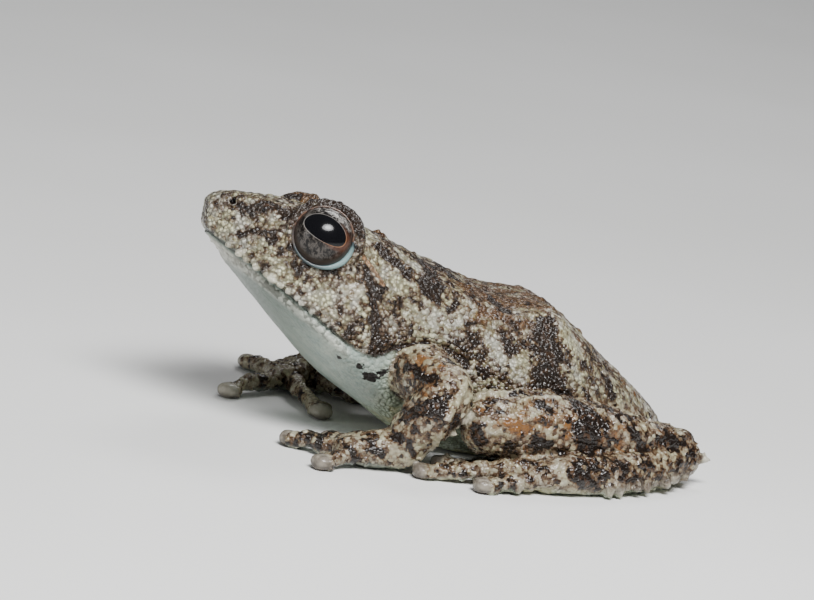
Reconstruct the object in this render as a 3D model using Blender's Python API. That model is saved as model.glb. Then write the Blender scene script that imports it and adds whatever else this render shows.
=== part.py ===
"""A small shrub frog, sitting, as a still life-size model.

Millimetres are used for every size below, and MM turns them into metres as each mesh is made.
The head points along -X, the frog's left side faces -Y, and the floor it sits on is Z = 0.
"""

import math

import bmesh
import bpy
import numpy as np
from mathutils import Matrix

MM = 0.001
GAP = 0.3            # space that touching pieces keep
HEAD_LEAN = 9.5      # degrees that the head leans over, its left eye the higher one
HEAD_TURN = 5.0      # degrees that it is turned to the frog's right
LEAN_FULL_X = -3.4   # lean and turn are complete ahead of this station
LEAN_NONE_X = 3.0    # and gone behind this one

# The body's lines, as on a boat's plan: each row is one station from snout to vent, with the
# height of the ridge, the dorsolateral line (half width, height), the lip and flank line,
# the lower line, and the height of the throat and belly.
BODY_LINES = np.array([
    # x      ridge   back y,z      side y,z      lower y,z    belly
    (-10.10, 10.02,  0.42, 9.94,   0.62, 9.38,   0.42, 8.84,  8.76),
    (-9.86,  10.34,  0.78, 10.20,  1.10, 9.05,   0.76, 8.52,  8.44),
    (-9.10,  10.56,  1.20, 10.36,  1.95, 8.42,   1.35, 7.80,  7.68),
    (-8.00,  10.58,  1.80, 10.28,  3.00, 7.62,   2.20, 6.70,  6.46),
    (-6.20,  10.46,  2.50, 10.00,  3.95, 6.45,   2.95, 5.10,  4.76),
    (-4.00,  10.15,  2.95, 9.45,   4.50, 5.00,   3.40, 3.25,  2.80),
    (-2.00,  9.42,   3.10, 8.70,   4.55, 4.90,   3.50, 2.05,  1.55),
    (0.50,   8.48,   3.20, 7.80,   4.55, 4.40,   3.55, 0.85,  0.10),
    (3.50,   7.45,   3.30, 6.85,   4.85, 3.60,   3.70, 0.25,  -0.15),
    (6.90,   7.00,   3.10, 6.35,   4.85, 3.00,   3.75, 0.15,  -0.15),
    (9.60,   5.05,   2.60, 4.50,   3.95, 2.20,   3.00, 0.10,  -0.15),
    (11.80,  3.42,   1.80, 3.00,   2.60, 1.70,   1.95, 0.30,  0.00),
    (13.20,  2.30,   0.95, 2.00,   1.35, 1.30,   1.00, 0.70,  0.50),
    (13.70,  1.70,   0.40, 1.60,   0.55, 1.25,   0.40, 0.95,  0.88),
])
SNOUT_TIP = (-10.16, 0.0, 9.5)
VENT_TIP = (13.78, 0.0, 1.28)
NECK_X = -1.2        # the head ends and the trunk starts at this station

MOUTH_FRONT = (-10.3, 8.86)    # mouth line in the X-Z plane, from the snout to the jaw's corner
MOUTH_CORNER = (-3.7, 4.45)

EYE = (-5.12, 3.28, 9.03)      # centre of the right eyeball, before the head leans and turns
EYE_RADIUS = 1.32
EYE_FORWARD = 14.0             # degrees that the eye's axis is turned forward
EYE_RAISED = 16.0              # and raised
LID_OPENING = 54.0             # degrees from the eye's axis to the lids' edge
LID_THICKNESS = 0.24

# Places on the body's skin are (station, s), with s as in body_points, for the left side.
NOSTRIL = (-9.2, 1.11)
NOSTRIL_RADIUS = 0.26
EAR_FOLD = [(-3.7, 0.95), (-3.3, 1.10), (-2.9, 1.24), (-2.6, 1.41), (-2.1, 1.62)]
EAR_FOLD_RADIUS = 0.32
NAPE_WART = (-1.72, 0.2)

# Limbs are paths of (x, y, z, half width, half height), for the frog's left side.
UPPER_ARM = [(-0.6, -3.0, 4.2, 1.35, 1.35), (-0.05, -5.2, 3.95, 1.34, 1.38), (0.45, -6.9, 3.85, 1.15, 1.22)]
FOREARM = [(0.45, -7.1, 3.8, 1.22, 1.10), (-0.15, -7.2, 2.9, 1.40, 1.18), (-0.85, -7.1, 1.95, 1.22, 1.04),
           (-1.4, -7.0, 1.0, 0.98, 0.90)]
PALM = [(-1.5, -6.95, 0.90, 0.90, 0.90), (-2.5, -6.9, 0.80, 0.98, 0.86), (-3.6, -6.75, 0.70, 1.05, 0.70)]
FINGERS = [
    [(-1.9, -6.6, 0.60, 0.42, 0.42), (-2.0, -5.6, 0.48, 0.33, 0.33), (-2.1, -4.7, 0.40, 0.30, 0.28)],
    [(-3.1, -6.4, 0.60, 0.45, 0.42), (-3.5, -5.4, 0.50, 0.34, 0.34), (-3.7, -4.4, 0.40, 0.31, 0.28)],
    [(-3.4, -6.5, 0.66, 0.48, 0.50), (-4.45, -5.85, 0.50, 0.38, 0.38), (-5.1, -5.25, 0.52, 0.36, 0.36),
     (-5.5, -4.8, 0.40, 0.33, 0.30)],
    [(-3.3, -7.1, 0.62, 0.46, 0.48), (-4.2, -7.65, 0.50, 0.38, 0.38), (-4.8, -7.9, 0.40, 0.36, 0.31)],
]
PAD_LENGTH = 1.12    # toe and finger discs, from the digit's last joint to the tip
PAD_WIDTH = 0.56     # half width
PAD_HEIGHT = 0.37    # half height

RIGHT_UPPER_ARM = [(-0.6, 3.0, 4.2, 1.35, 1.35), (-0.1, 5.2, 3.95, 1.34, 1.38), (0.5, 6.9, 3.75, 1.15, 1.22)]
RIGHT_FOREARM = [(0.50, 7.1, 3.6, 1.18, 1.10), (-0.3, 7.4, 2.8, 1.30, 1.16), (-1.2, 7.4, 1.9, 1.10, 1.02),
                 (-1.9, 7.2, 1.15, 0.88, 0.82)]
RIGHT_PALM = [(-1.85, 7.2, 0.98, 0.85, 0.88), (-2.7, 6.9, 0.78, 0.96, 0.76), (-3.5, 6.5, 0.66, 1.02, 0.62)]
RIGHT_FINGERS = [
    [(-2.3, 6.5, 0.60, 0.42, 0.42), (-1.4, 5.7, 0.48, 0.33, 0.33), (-0.6, 5.3, 0.40, 0.30, 0.28)],
    [(-3.1, 6.1, 0.60, 0.45, 0.42), (-3.25, 4.6, 0.50, 0.34, 0.34), (-3.1, 2.9, 0.42, 0.32, 0.30),
     (-3.0, 1.9, 0.38, 0.31, 0.28)],
    [(-3.5, 6.2, 0.64, 0.48, 0.48), (-4.75, 5.45, 0.54, 0.38, 0.38), (-5.8, 4.7, 0.50, 0.35, 0.34),
     (-6.4, 4.25, 0.40, 0.32, 0.28)],
    [(-3.4, 6.9, 0.60, 0.46, 0.46), (-3.9, 8.2, 0.50, 0.38, 0.38), (-4.2, 9.45, 0.40, 0.35, 0.30)],
]

THIGH = [(10.9, -2.0, 1.70, 1.20, 1.22), (8.6, -3.9, 1.85, 1.50, 1.42), (5.6, -5.5, 2.30, 1.55, 1.50),
         (2.7, -6.7, 2.70, 1.28, 1.30)]
SHANK = [(2.5, -7.3, 2.55, 1.25, 1.28), (5.0, -7.15, 2.6, 1.42, 1.45), (8.0, -6.6, 2.42, 1.38, 1.36),
         (11.0, -5.75, 2.0, 1.05, 1.05), (12.9, -5.1, 1.65, 0.86, 0.92)]
TARSUS = [(13.15, -5.05, 1.22, 0.92, 1.0), (11.4, -6.45, 1.00, 0.92, 0.97), (9.4, -7.65, 0.90, 0.95, 0.96),
          (7.6, -8.4, 0.86, 0.90, 0.92)]
SOLE = [(7.4, -8.45, 0.84, 0.90, 0.90), (6.0, -8.75, 0.78, 1.0, 0.80), (4.8, -8.75, 0.64, 1.0, 0.58)]
TOES = [
    [(5.9, -8.1, 0.52, 0.40, 0.38), (5.4, -7.3, 0.42, 0.30, 0.30), (4.9, -6.6, 0.36, 0.28, 0.26)],
    [(5.2, -8.1, 0.54, 0.42, 0.40), (4.3, -7.3, 0.44, 0.32, 0.32), (3.4, -6.6, 0.36, 0.30, 0.27)],
    [(4.9, -8.3, 0.56, 0.46, 0.42), (3.6, -7.8, 0.50, 0.36, 0.36), (2.4, -7.25, 0.44, 0.33, 0.32),
     (1.4, -6.75, 0.36, 0.32, 0.27)],
    [(4.7, -8.6, 0.60, 0.50, 0.46), (3.2, -8.65, 0.58, 0.42, 0.42), (1.7, -8.5, 0.54, 0.38, 0.38),
     (0.1, -8.25, 0.40, 0.35, 0.30)],
    [(4.9, -9.1, 0.58, 0.48, 0.46), (3.6, -9.5, 0.50, 0.40, 0.40), (2.58, -9.7, 0.40, 0.36, 0.31)],
]

LIP_WARTS = 9        # pale beads along each upper lip
LIP_WART_RADIUS = 0.26
SPUR_LENGTH = 1.0    # pointed skin spur on the heel
FRINGE_WARTS = 7     # cones along the outer edge of each forearm and tarsus

LIMB_RINGS = 3       # rings from one point of a limb's path to the next
DIGIT_RINGS = 2
LIMB_SIDES = 12
DIGIT_SIDES = 8
BODY_SIDES = 32


def material(name, colour, roughness):
    """One finish, as a Principled material."""
    made = bpy.data.materials.new(name)
    made.use_nodes = True
    shader = made.node_tree.nodes["Principled BSDF"]
    shader.inputs["Base Color"].default_value = (*colour, 1.0)
    shader.inputs["Roughness"].default_value = roughness
    shader.inputs["Metallic"].default_value = 0.0
    return made


def hermite(x, knots, values):
    """Smooth curve through the values at the knots, read at x."""
    slopes = np.gradient(values, knots, axis=0)
    x = np.clip(x, knots[0], knots[-1])
    cell = np.clip(np.searchsorted(knots, x) - 1, 0, len(knots) - 2)
    width = knots[cell + 1] - knots[cell]
    t = ((x - knots[cell]) / width)[:, None]
    width = width[:, None]
    return ((2 * t**3 - 3 * t**2 + 1) * values[cell] + (t**3 - 2 * t**2 + t) * width * slopes[cell]
            + (3 * t**2 - 2 * t**3) * values[cell + 1] + (t**3 - t**2) * width * slopes[cell + 1])


def head_lean(points):
    """Leans and turns points with the head; both fade out behind the shoulders."""
    points = np.array(points, float)
    x, y, z = np.moveaxis(points, -1, 0)
    width = LEAN_NONE_X - LEAN_FULL_X
    share = np.clip((LEAN_NONE_X - x) / width, 0, 1)
    fade = share * share * (3 - 2 * share)
    lean = math.radians(HEAD_LEAN) * fade
    turn = math.radians(HEAD_TURN) * fade
    axis_height = 5.0 - 0.35 * x
    leaned_y = y * np.cos(lean) + (z - axis_height) * np.sin(lean)
    leaned_z = (z - axis_height) * np.cos(lean) - y * np.sin(lean) + axis_height
    reach = np.clip(LEAN_FULL_X - x, 0, None)
    bend = math.tan(math.radians(HEAD_TURN)) * (width * (share**3 - share**4 / 2) + reach)
    return np.stack([x + leaned_y * np.sin(turn), leaned_y * np.cos(turn) + bend, leaned_z], -1)


def body_points(x, s):
    """Points of the body's skin: x is a station and s runs 0 to 8 round it, down the left side."""
    x, s = np.broadcast_arrays(np.asarray(x, float), np.asarray(s, float))
    shape = x.shape
    row = hermite(x.ravel(), BODY_LINES[:, 0], BODY_LINES[:, 1:])
    top, back_y, back_z, side_y, side_z, low_y, low_z, belly = row.T
    none = np.zeros_like(top)
    ring_y = np.stack([none, -back_y, -side_y, -low_y, none, low_y, side_y, back_y], 1)
    ring_z = np.stack([top, back_z, side_z, low_z, belly, low_z, side_z, back_z], 1)
    s = s.ravel() % 8
    k = np.floor(s).astype(int)
    t = s - k
    weights = [-t**3 + 2 * t**2 - t, 3 * t**3 - 5 * t**2 + 2, -3 * t**3 + 4 * t**2 + t, t**3 - t**2]
    rows = np.arange(len(s))
    y = sum(w * ring_y[rows, (k + j) % 8] for w, j in zip(weights, (-1, 0, 1, 2))) / 2
    z = sum(w * ring_z[rows, (k + j) % 8] for w, j in zip(weights, (-1, 0, 1, 2))) / 2
    return head_lean(np.stack([x.ravel(), y, z], 1)).reshape(*shape, 3)


def on_skin(place, side):
    """The point of the skin at a (station, s) place of the left side, or its like on the right."""
    return body_points(place[0], place[1] if side < 0 else 8 - place[1])


def ring_normals(grid):
    """Outward normals of a tube given as a grid of rings."""
    around = np.roll(grid, -1, 1) - np.roll(grid, 1, 1)
    along = np.gradient(grid, axis=0)
    normal = np.cross(around, along)
    normal /= np.linalg.norm(normal, axis=2, keepdims=True)
    outward = grid - grid.mean(1, keepdims=True)
    return normal if (normal * outward).sum() > 0 else -normal


def tube_mesh(name, grid, first_pole, last_pole, swell=0.0):
    """A closed mesh from rings of points and a pole beyond each end, grown outwards by swell."""
    grid = np.array(grid, float)
    first_pole = np.array(first_pole, float)
    last_pole = np.array(last_pole, float)
    if swell:
        grid = grid + ring_normals(grid) * swell
        for pole, ring, inner in ((first_pole, 0, 1), (last_pole, -1, -2)):
            out = grid[ring].mean(0) - grid[inner].mean(0)
            pole += out / np.linalg.norm(out) * swell
    rings, sides = grid.shape[:2]
    index = np.arange(rings * sides).reshape(rings, sides)
    a, b = index[:-1], index[1:]
    quads = np.stack([a, np.roll(a, -1, 1), np.roll(b, -1, 1), b], 2).reshape(-1, 4).tolist()
    first, last = rings * sides, rings * sides + 1
    fan = [(first, int(j), int(i)) for i, j in zip(index[0], np.roll(index[0], -1))]
    fan += [(last, int(i), int(j)) for i, j in zip(index[-1], np.roll(index[-1], -1))]
    mesh = bpy.data.meshes.new(name)
    points = np.vstack([grid.reshape(-1, 3), first_pole, last_pole]) * MM
    mesh.from_pydata(points.tolist(), [], quads + fan)
    work = bmesh.new()
    work.from_mesh(mesh)
    bmesh.ops.recalc_face_normals(work, faces=work.faces)
    work.to_mesh(mesh)
    work.free()
    obj = bpy.data.objects.new(name, mesh)
    bpy.context.scene.collection.objects.link(obj)
    return obj


def limb_grid(path, sides, up=(0, 0, 1), pad=False, swell=0.0):
    """Rings along a smooth path with round ends; a pad ends it in a flat disc."""
    knots = np.array(path, float)
    count = (len(knots) - 1) * (DIGIT_RINGS if pad else LIMB_RINGS) + 1
    rows = hermite(np.linspace(0, len(knots) - 1, count), np.arange(len(knots)) * 1.0, knots)
    if pad:
        heading = rows[-1, :3] - rows[-2, :3]
        heading[2] = 0
        heading /= np.linalg.norm(heading)
        for share, wide, tall in ((0.30, 0.86, 0.92), (0.62, 1.0, 1.0), (0.86, 0.82, 0.85)):
            place = knots[-1, :3] + heading * PAD_LENGTH * share
            place[2] = PAD_HEIGHT * 0.80
            rows = np.vstack([rows, [*place, PAD_WIDTH * wide, PAD_HEIGHT * tall]])
    centre = rows[:, :3]
    half = rows[:, 3:5] + swell
    tangent = np.gradient(centre, axis=0)
    tangent /= np.linalg.norm(tangent, axis=1, keepdims=True)
    for end, sign in ((0, -1), (-1, 1)):
        if pad and end == -1:
            continue
        reach = half[end].mean()
        steps = [(math.sin(t), math.cos(t)) for t in (math.radians(35), math.radians(65))]
        caps = [centre[end] + sign * tangent[end] * reach * move for move, _ in steps]
        sizes = [half[end] * size for _, size in steps]
        if end == 0:
            centre = np.vstack([caps[::-1], centre])
            half = np.vstack([sizes[::-1], half])
            tangent = np.vstack([tangent[:1], tangent[:1], tangent])
        else:
            centre = np.vstack([centre, caps])
            half = np.vstack([half, sizes])
            tangent = np.vstack([tangent, tangent[-1:], tangent[-1:]])
    side = np.cross(np.array(up, float), tangent)
    side /= np.linalg.norm(side, axis=1, keepdims=True)
    over = np.cross(tangent, side)
    turn = np.linspace(0, 2 * np.pi, sides, endpoint=False)
    grid = (centre[:, None] + np.cos(turn)[None, :, None] * side[:, None] * half[:, :1, None]
            + np.sin(turn)[None, :, None] * over[:, None] * half[:, 1:2, None])
    reach = half[[0, -1]].mean(1) * 0.45
    if pad:
        reach[1] = PAD_LENGTH * 0.14 + swell
    first_pole = centre[0] - tangent[0] * reach[0]
    last_pole = centre[-1] + tangent[-1] * reach[1]
    return grid, first_pole, last_pole


def limb(name, path, sides=LIMB_SIDES, up=(0, 0, 1), pad=False, swell=0.0):
    """A limb segment or a digit as a closed mesh."""
    return tube_mesh(name, *limb_grid(path, sides, up, pad, swell))


def body_length(name, start, end, stations, tips, swell=0.0):
    """A length of head and trunk between two stations, each end a tip point or a flat cut."""
    x = np.linspace(start, end, stations)
    inside = BODY_LINES[(BODY_LINES[:, 0] > start + 0.2) & (BODY_LINES[:, 0] < end - 0.2), 0]
    x = np.unique(np.concatenate([x[[0, -1]], inside, x[1:-1]]).round(2))
    keep = np.concatenate([[True], np.diff(x) > 0.22])
    keep[-1] = True
    x = x[keep]
    s = np.linspace(0, 8, BODY_SIDES, endpoint=False)
    grid = body_points(x[:, None], s[None, :])
    poles = [grid[0].mean(0), grid[-1].mean(0)]
    for end_of, tip in enumerate(tips):
        if tip is not None:
            poles[end_of] = head_lean(tip)
    return tube_mesh(name, grid, *poles, swell=swell)


def eye_axis(side):
    """Direction an eye looks in; side is -1 for the frog's left and 1 for its right."""
    forward, raised = math.radians(EYE_FORWARD), math.radians(EYE_RAISED)
    return np.array([-math.sin(forward) * math.cos(raised), side * math.cos(forward) * math.cos(raised),
                     math.sin(raised)])


def round_grid(centre, axis, rings, sides, radius_at):
    """Rings about an axis through a centre; radius_at(polar, turn) gives each point's distance."""
    axis = axis / np.linalg.norm(axis)
    side = np.cross(axis, (0, 0, 1.0))
    side /= np.linalg.norm(side)
    over = np.cross(side, axis)
    polar = np.radians(rings)[:, None]
    turn = np.linspace(0, 2 * np.pi, sides, endpoint=False)[None, :]
    radius = radius_at(np.degrees(polar) + 0 * turn, turn + 0 * polar)[..., None]
    ray = (np.cos(polar)[..., None] * axis + np.sin(polar)[..., None]
           * (np.cos(turn)[..., None] * side + np.sin(turn)[..., None] * over))
    return np.array(centre) + ray * radius


def eyeball(name, side, swell=0.0):
    """The eye as a full ball."""
    centre = np.array([EYE[0], side * EYE[1], EYE[2]])
    axis = eye_axis(side)
    radius = EYE_RADIUS + swell
    grid = round_grid(centre, axis, np.arange(12, 175, 14.0), 18, lambda polar, turn: radius + 0 * polar)
    return tube_mesh(name, head_lean(grid), head_lean(centre + axis * radius), head_lean(centre - axis * radius))


def eye_dome(name, side):
    """The bulge of skin round an eye, open in front where the ball shows."""
    centre = np.array([EYE[0], side * EYE[1], EYE[2]])
    axis = eye_axis(side)

    def radius(polar, turn):
        rim = np.clip((polar - LID_OPENING) / 7.0, 0, 1)
        brow = 0.10 * np.clip(np.sin(turn), -0.3, 1) * np.sin(np.radians(polar))
        return EYE_RADIUS + rim * (GAP + LID_THICKNESS + brow)

    rings = np.array([20, LID_OPENING, LID_OPENING + 7, 76, 90, 105, 125, 150.0])
    grid = round_grid(centre, axis, rings, 20, radius)
    front = head_lean(centre + axis * EYE_RADIUS)
    return tube_mesh(name, head_lean(grid), front, head_lean(centre - axis * EYE_RADIUS))


def bead(name, place, radius, axis=(0, 0, 1), length=None):
    """A wart as a low dome, or as a blunt cone when it has a length along its axis."""
    axis = np.array(axis, float) / np.linalg.norm(axis)
    helper = (1.0, 0, 0) if abs(axis[0]) < 0.8 else (0, 1.0, 0)
    side = np.cross(axis, helper)
    side /= np.linalg.norm(side)
    over = np.cross(axis, side)
    reach = length or radius
    turn = np.linspace(0, 2 * np.pi, 6, endpoint=False)
    round_it = np.cos(turn)[:, None] * side + np.sin(turn)[:, None] * over
    stages = ((-0.75, 0.75), (0.0, 1.0), (0.62, 0.70))
    if length:
        stages = ((-0.6, 0.8), (0.15, 0.95), (0.62, 0.50))
    rings = [np.array(place) + axis * reach * move + round_it * radius * size for move, size in stages]
    return tube_mesh(name, rings, place - axis * reach, place + axis * reach)


def join(keep, others):
    """Unites closed meshes into the first one."""
    if not others:
        return keep
    group = bpy.data.collections.new("joined")
    for obj in others:
        group.objects.link(obj)
    step = keep.modifiers.new("union", "BOOLEAN")
    step.operation = "UNION"
    step.operand_type = "COLLECTION"
    step.collection = group
    apply_modifiers(keep)
    for obj in others:
        bpy.data.objects.remove(obj)
    bpy.data.collections.remove(group)
    return keep


def cut(keep, cutters, operation="DIFFERENCE"):
    """Cuts an object by each cutter in turn, then removes the cutters."""
    for cutter in cutters:
        step = keep.modifiers.new("cut", "BOOLEAN")
        step.operation = operation
        step.object = cutter
        apply_modifiers(keep)
        bpy.data.objects.remove(cutter)
    return keep


def apply_modifiers(obj):
    graph = bpy.context.evaluated_depsgraph_get()
    mesh = bpy.data.meshes.new_from_object(obj.evaluated_get(graph))
    obj.modifiers.clear()
    obj.data = mesh


def keep_largest(obj):
    """Leaves only the closed surface that holds the most volume."""
    work = bmesh.new()
    work.from_mesh(obj.data)
    bmesh.ops.remove_doubles(work, verts=work.verts, dist=1e-7)
    unseen = set(work.faces)
    shells = []
    while unseen:
        stack = [unseen.pop()]
        shell = []
        while stack:
            face = stack.pop()
            shell.append(face)
            for edge in face.edges:
                for other in edge.link_faces:
                    if other in unseen:
                        unseen.remove(other)
                        stack.append(other)
        shells.append(shell)

    def volume(shell):
        return sum(face.calc_center_median().dot(face.normal) * face.calc_area() for face in shell)

    best = max(shells, key=volume)
    drop = [face for shell in shells if shell is not best for face in shell]
    bmesh.ops.delete(work, geom=drop, context="FACES")
    loose = [vert for vert in work.verts if not vert.link_faces]
    bmesh.ops.delete(work, geom=loose, context="VERTS")
    bmesh.ops.triangulate(work, faces=[face for face in work.faces if len(face.verts) > 4])
    work.to_mesh(obj.data)
    work.free()
    return obj


def floor_block():
    """Everything under the floor, to cut the soles, pads and belly flat."""
    bpy.ops.mesh.primitive_cube_add(size=1.0)
    block = bpy.context.object
    block.name = "floor_block"
    block.data.transform(Matrix.Translation((0, 0, -10 * MM)) @ Matrix.Diagonal((60 * MM, 60 * MM, 20 * MM, 1)))
    return block


def prism(name, outline, half_width):
    """A block with an X-Z outline, leaned with the head."""
    ring = [np.array([[x, y, z] for x, z in outline]) for y in (-half_width, half_width)]
    rings = [head_lean(r) for r in ring]
    return tube_mesh(name, rings, rings[0].mean(0), rings[1].mean(0))


def jaw_region(name, swell):
    """The space below the mouth line and ahead of the jaw's corner."""
    (x0, z0), (x1, z1) = MOUTH_FRONT, MOUTH_CORNER
    along = np.array([x1 - x0, z1 - z0]) / math.hypot(x1 - x0, z1 - z0)
    across = np.array([-along[1], along[0]])
    front = np.array([x0, z0]) - along * 2.0
    corner = np.array([x1, z1]) + along * swell
    lift = across * swell
    outline = [front + lift, corner + lift, corner - across * 6.0, front - across * 6.0]
    return prism(name, outline, 7.0)


def finish(obj, look):
    """Names the node's finish and shades its rounds smooth."""
    keep_largest(obj)
    obj.data.materials.clear()
    obj.data.materials.append(look)
    obj.data.shade_smooth()
    obj.data.set_sharp_from_angle(angle=math.radians(40))
    return obj


def set_on_origin():
    """Moves every mesh so that the origin is the middle of the frog's box, on the floor."""
    meshes = [obj.data for obj in bpy.data.objects]
    corners = np.array([vert.co for mesh in meshes for vert in mesh.vertices])
    low, high = corners.min(0), corners.max(0)
    for mesh in meshes:
        mesh.transform(Matrix.Translation((-(low[0] + high[0]) / 2, -(low[1] + high[1]) / 2, -low[2])))


def lip_warts(side):
    """Pale beads along one upper lip, from under the nostril to the jaw's corner."""
    made = []
    for i in range(LIP_WARTS):
        share = i / (LIP_WARTS - 1)
        x = -9.9 + 5.2 * share
        s = 2.0 - 0.12 if side < 0 else 6.0 + 0.12
        place = body_points(x, s)
        centre = body_points(x, 0.0) * 0.5 + body_points(x, 4.0) * 0.5
        out = place - centre
        out[0] = 0
        out /= np.linalg.norm(out)
        radius = LIP_WART_RADIUS * (1.0 + 0.22 * math.sin(i * 2.4)) * (0.85 if i == 0 else 1.0)
        made.append(bead(f"lip_wart_{i}", place - out * 0.06, radius, out))
    return made


def mirrored(path, side):
    """A left-side path, or its mirror image for the right side."""
    return [(x, y * -side, z, *size) for x, y, z, *size in path]


def fringe(path, start, end, out, count, radius, length):
    """Cones along the outer edge of a limb, between two shares of its path."""
    knots = np.array(path, float)
    places = hermite(np.linspace(start, end, count) * (len(knots) - 1), np.arange(len(knots)) * 1.0, knots)
    out = np.array(out, float) / np.linalg.norm(out)
    made = []
    for i, row in enumerate(places):
        grow = 1.0 + 0.18 * math.sin(i * 2.1)
        place = row[:3] + out * (row[3] * 0.88)
        made.append(bead(f"fringe_{i}", place, radius * grow, out, length * grow))
    return made


def build():
    for obj in list(bpy.data.objects):
        bpy.data.objects.remove(obj)
    mottled = material("mottled_skin", (0.42, 0.38, 0.32), 0.45)
    pale = material("throat_skin", (0.55, 0.60, 0.56), 0.42)
    iris = material("eye", (0.10, 0.085, 0.075), 0.08)

    trunk = body_length("trunk", NECK_X + GAP / 2, 13.70, 13, (None, VENT_TIP))
    cut(trunk, [floor_block()])
    finish(trunk, mottled)

    head = body_length("head", -10.10, NECK_X - GAP / 2, 12, (SNOUT_TIP, None))
    jaw = body_length("lower_jaw", -10.10, NECK_X - GAP / 2, 12, (SNOUT_TIP, None))
    cut(jaw, [jaw_region("jaw_space", 0.0)], "INTERSECT")
    finish(jaw, pale)
    cut(head, [jaw_region("jaw_cut", GAP)])
    domes = [eye_dome(f"dome_{side}", side) for side in (-1, 1)]
    folds = [limb(f"ear_fold_{side}", [(*on_skin(place, side), EAR_FOLD_RADIUS, EAR_FOLD_RADIUS)
                                       for place in EAR_FOLD], DIGIT_SIDES) for side in (-1, 1)]
    nape = bead("nape_wart", on_skin(NAPE_WART, -1), 0.30)
    join(head, domes + folds + [nape] + lip_warts(-1) + lip_warts(1))
    for side in (-1, 1):
        cut(head, [bead("nostril", on_skin(NOSTRIL, side), NOSTRIL_RADIUS), eyeball("eye_space", side, GAP)])
    finish(head, mottled)
    finish(eyeball("eye_left", -1), iris)
    finish(eyeball("eye_right", 1), iris)

    def body_space():
        return body_length("body_space", -10.10, 13.70, 22, (SNOUT_TIP, VENT_TIP), swell=GAP)

    arms = {"left": (UPPER_ARM, FOREARM, PALM, FINGERS),
            "right": (RIGHT_UPPER_ARM, RIGHT_FOREARM, RIGHT_PALM, RIGHT_FINGERS)}
    for name, (upper, fore, palm, fingers) in arms.items():
        side = -1 if name == "left" else 1
        level = (1, 0, 0)
        arm = limb(f"upper_arm_{name}", upper)
        cut(arm, [body_space()])
        finish(arm, mottled)

        edge = (1.0, side * 0.55, -0.35)
        forearm = limb(f"forearm_{name}", fore, up=level)
        join(forearm, fringe(fore, 0.12, 0.92, edge, FRINGE_WARTS - 1, 0.22, 0.34))
        cut(forearm, [limb("arm_space", upper, swell=GAP), body_space(), floor_block()])
        finish(forearm, mottled)

        hand = limb(f"hand_{name}", palm)
        join(hand, [limb(f"finger_{i}", path, DIGIT_SIDES, pad=True) for i, path in enumerate(fingers)])
        cut(hand, [floor_block(), limb("forearm_space", fore, up=level, swell=GAP), body_space()])
        finish(hand, mottled)

    for name, side in (("left", -1), ("right", 1)):
        thigh_path, shank_path, tarsus_path, sole_path = (
            mirrored(path, side) for path in (THIGH, SHANK, TARSUS, SOLE))
        thigh = limb(f"thigh_{name}", thigh_path)
        cut(thigh, [body_space(), floor_block()])
        finish(thigh, mottled)

        shank = limb(f"shank_{name}", shank_path)
        cut(shank, [body_space(), limb("thigh_space", thigh_path, swell=GAP), floor_block()])
        finish(shank, mottled)

        tarsus = limb(f"tarsus_{name}", tarsus_path)
        heel = np.array(tarsus_path[0][:3])
        spur_axis = np.array([1.0, side * 0.10, 0.04])
        spur = bead("spur", heel + spur_axis * 0.62, 0.26, spur_axis, SPUR_LENGTH * 0.75)
        edge = (0.25, side * 0.85, -0.62)
        join(tarsus, [spur] + fringe(tarsus_path, 0.05, 0.97, edge, FRINGE_WARTS + 1, 0.22, 0.40))
        cut(tarsus, [body_space(), limb("thigh_space", thigh_path, swell=GAP),
                     limb("shank_space", shank_path, swell=GAP), floor_block()])
        finish(tarsus, mottled)

        foot = limb(f"foot_{name}", sole_path)
        toes = [limb(f"toe_{i}", mirrored(path, side), DIGIT_SIDES, pad=True) for i, path in enumerate(TOES)]
        join(foot, toes)
        cut(foot, [body_space(), limb("thigh_space", thigh_path, swell=GAP),
                   limb("shank_space", shank_path, swell=GAP),
                   limb("tarsus_space", tarsus_path, swell=GAP), floor_block()])
        finish(foot, mottled)
    set_on_origin()


build()
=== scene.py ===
# Looks for a still, life-size shrub frog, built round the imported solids.
# Every size below is in millimetres and becomes metres as a mesh is made.

import math

import bpy
import numpy as np
from mathutils import Matrix, Vector


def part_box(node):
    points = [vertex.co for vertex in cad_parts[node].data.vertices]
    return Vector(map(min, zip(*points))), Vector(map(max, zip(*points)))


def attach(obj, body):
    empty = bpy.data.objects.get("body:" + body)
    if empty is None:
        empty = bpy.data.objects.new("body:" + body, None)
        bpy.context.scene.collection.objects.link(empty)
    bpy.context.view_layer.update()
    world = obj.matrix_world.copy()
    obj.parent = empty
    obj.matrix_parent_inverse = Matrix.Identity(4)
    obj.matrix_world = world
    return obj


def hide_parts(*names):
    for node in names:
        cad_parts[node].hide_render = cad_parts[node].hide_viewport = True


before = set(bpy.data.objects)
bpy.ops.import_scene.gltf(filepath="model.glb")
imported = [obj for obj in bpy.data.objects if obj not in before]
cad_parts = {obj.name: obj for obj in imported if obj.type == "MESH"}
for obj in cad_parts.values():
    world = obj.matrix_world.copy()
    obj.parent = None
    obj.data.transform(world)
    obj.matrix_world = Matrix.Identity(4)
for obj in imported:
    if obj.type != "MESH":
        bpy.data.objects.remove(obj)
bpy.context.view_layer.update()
mm = 0.001
print("frame loaded")


def smooth(x, low, high):
    # 0 below low, 1 above high, with a soft S between
    t = np.clip((x - low) / (high - low), 0, 1)
    return t * t * (3 - 2 * t)


def unit(v):
    return v / np.linalg.norm(v, axis=-1, keepdims=True)


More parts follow.
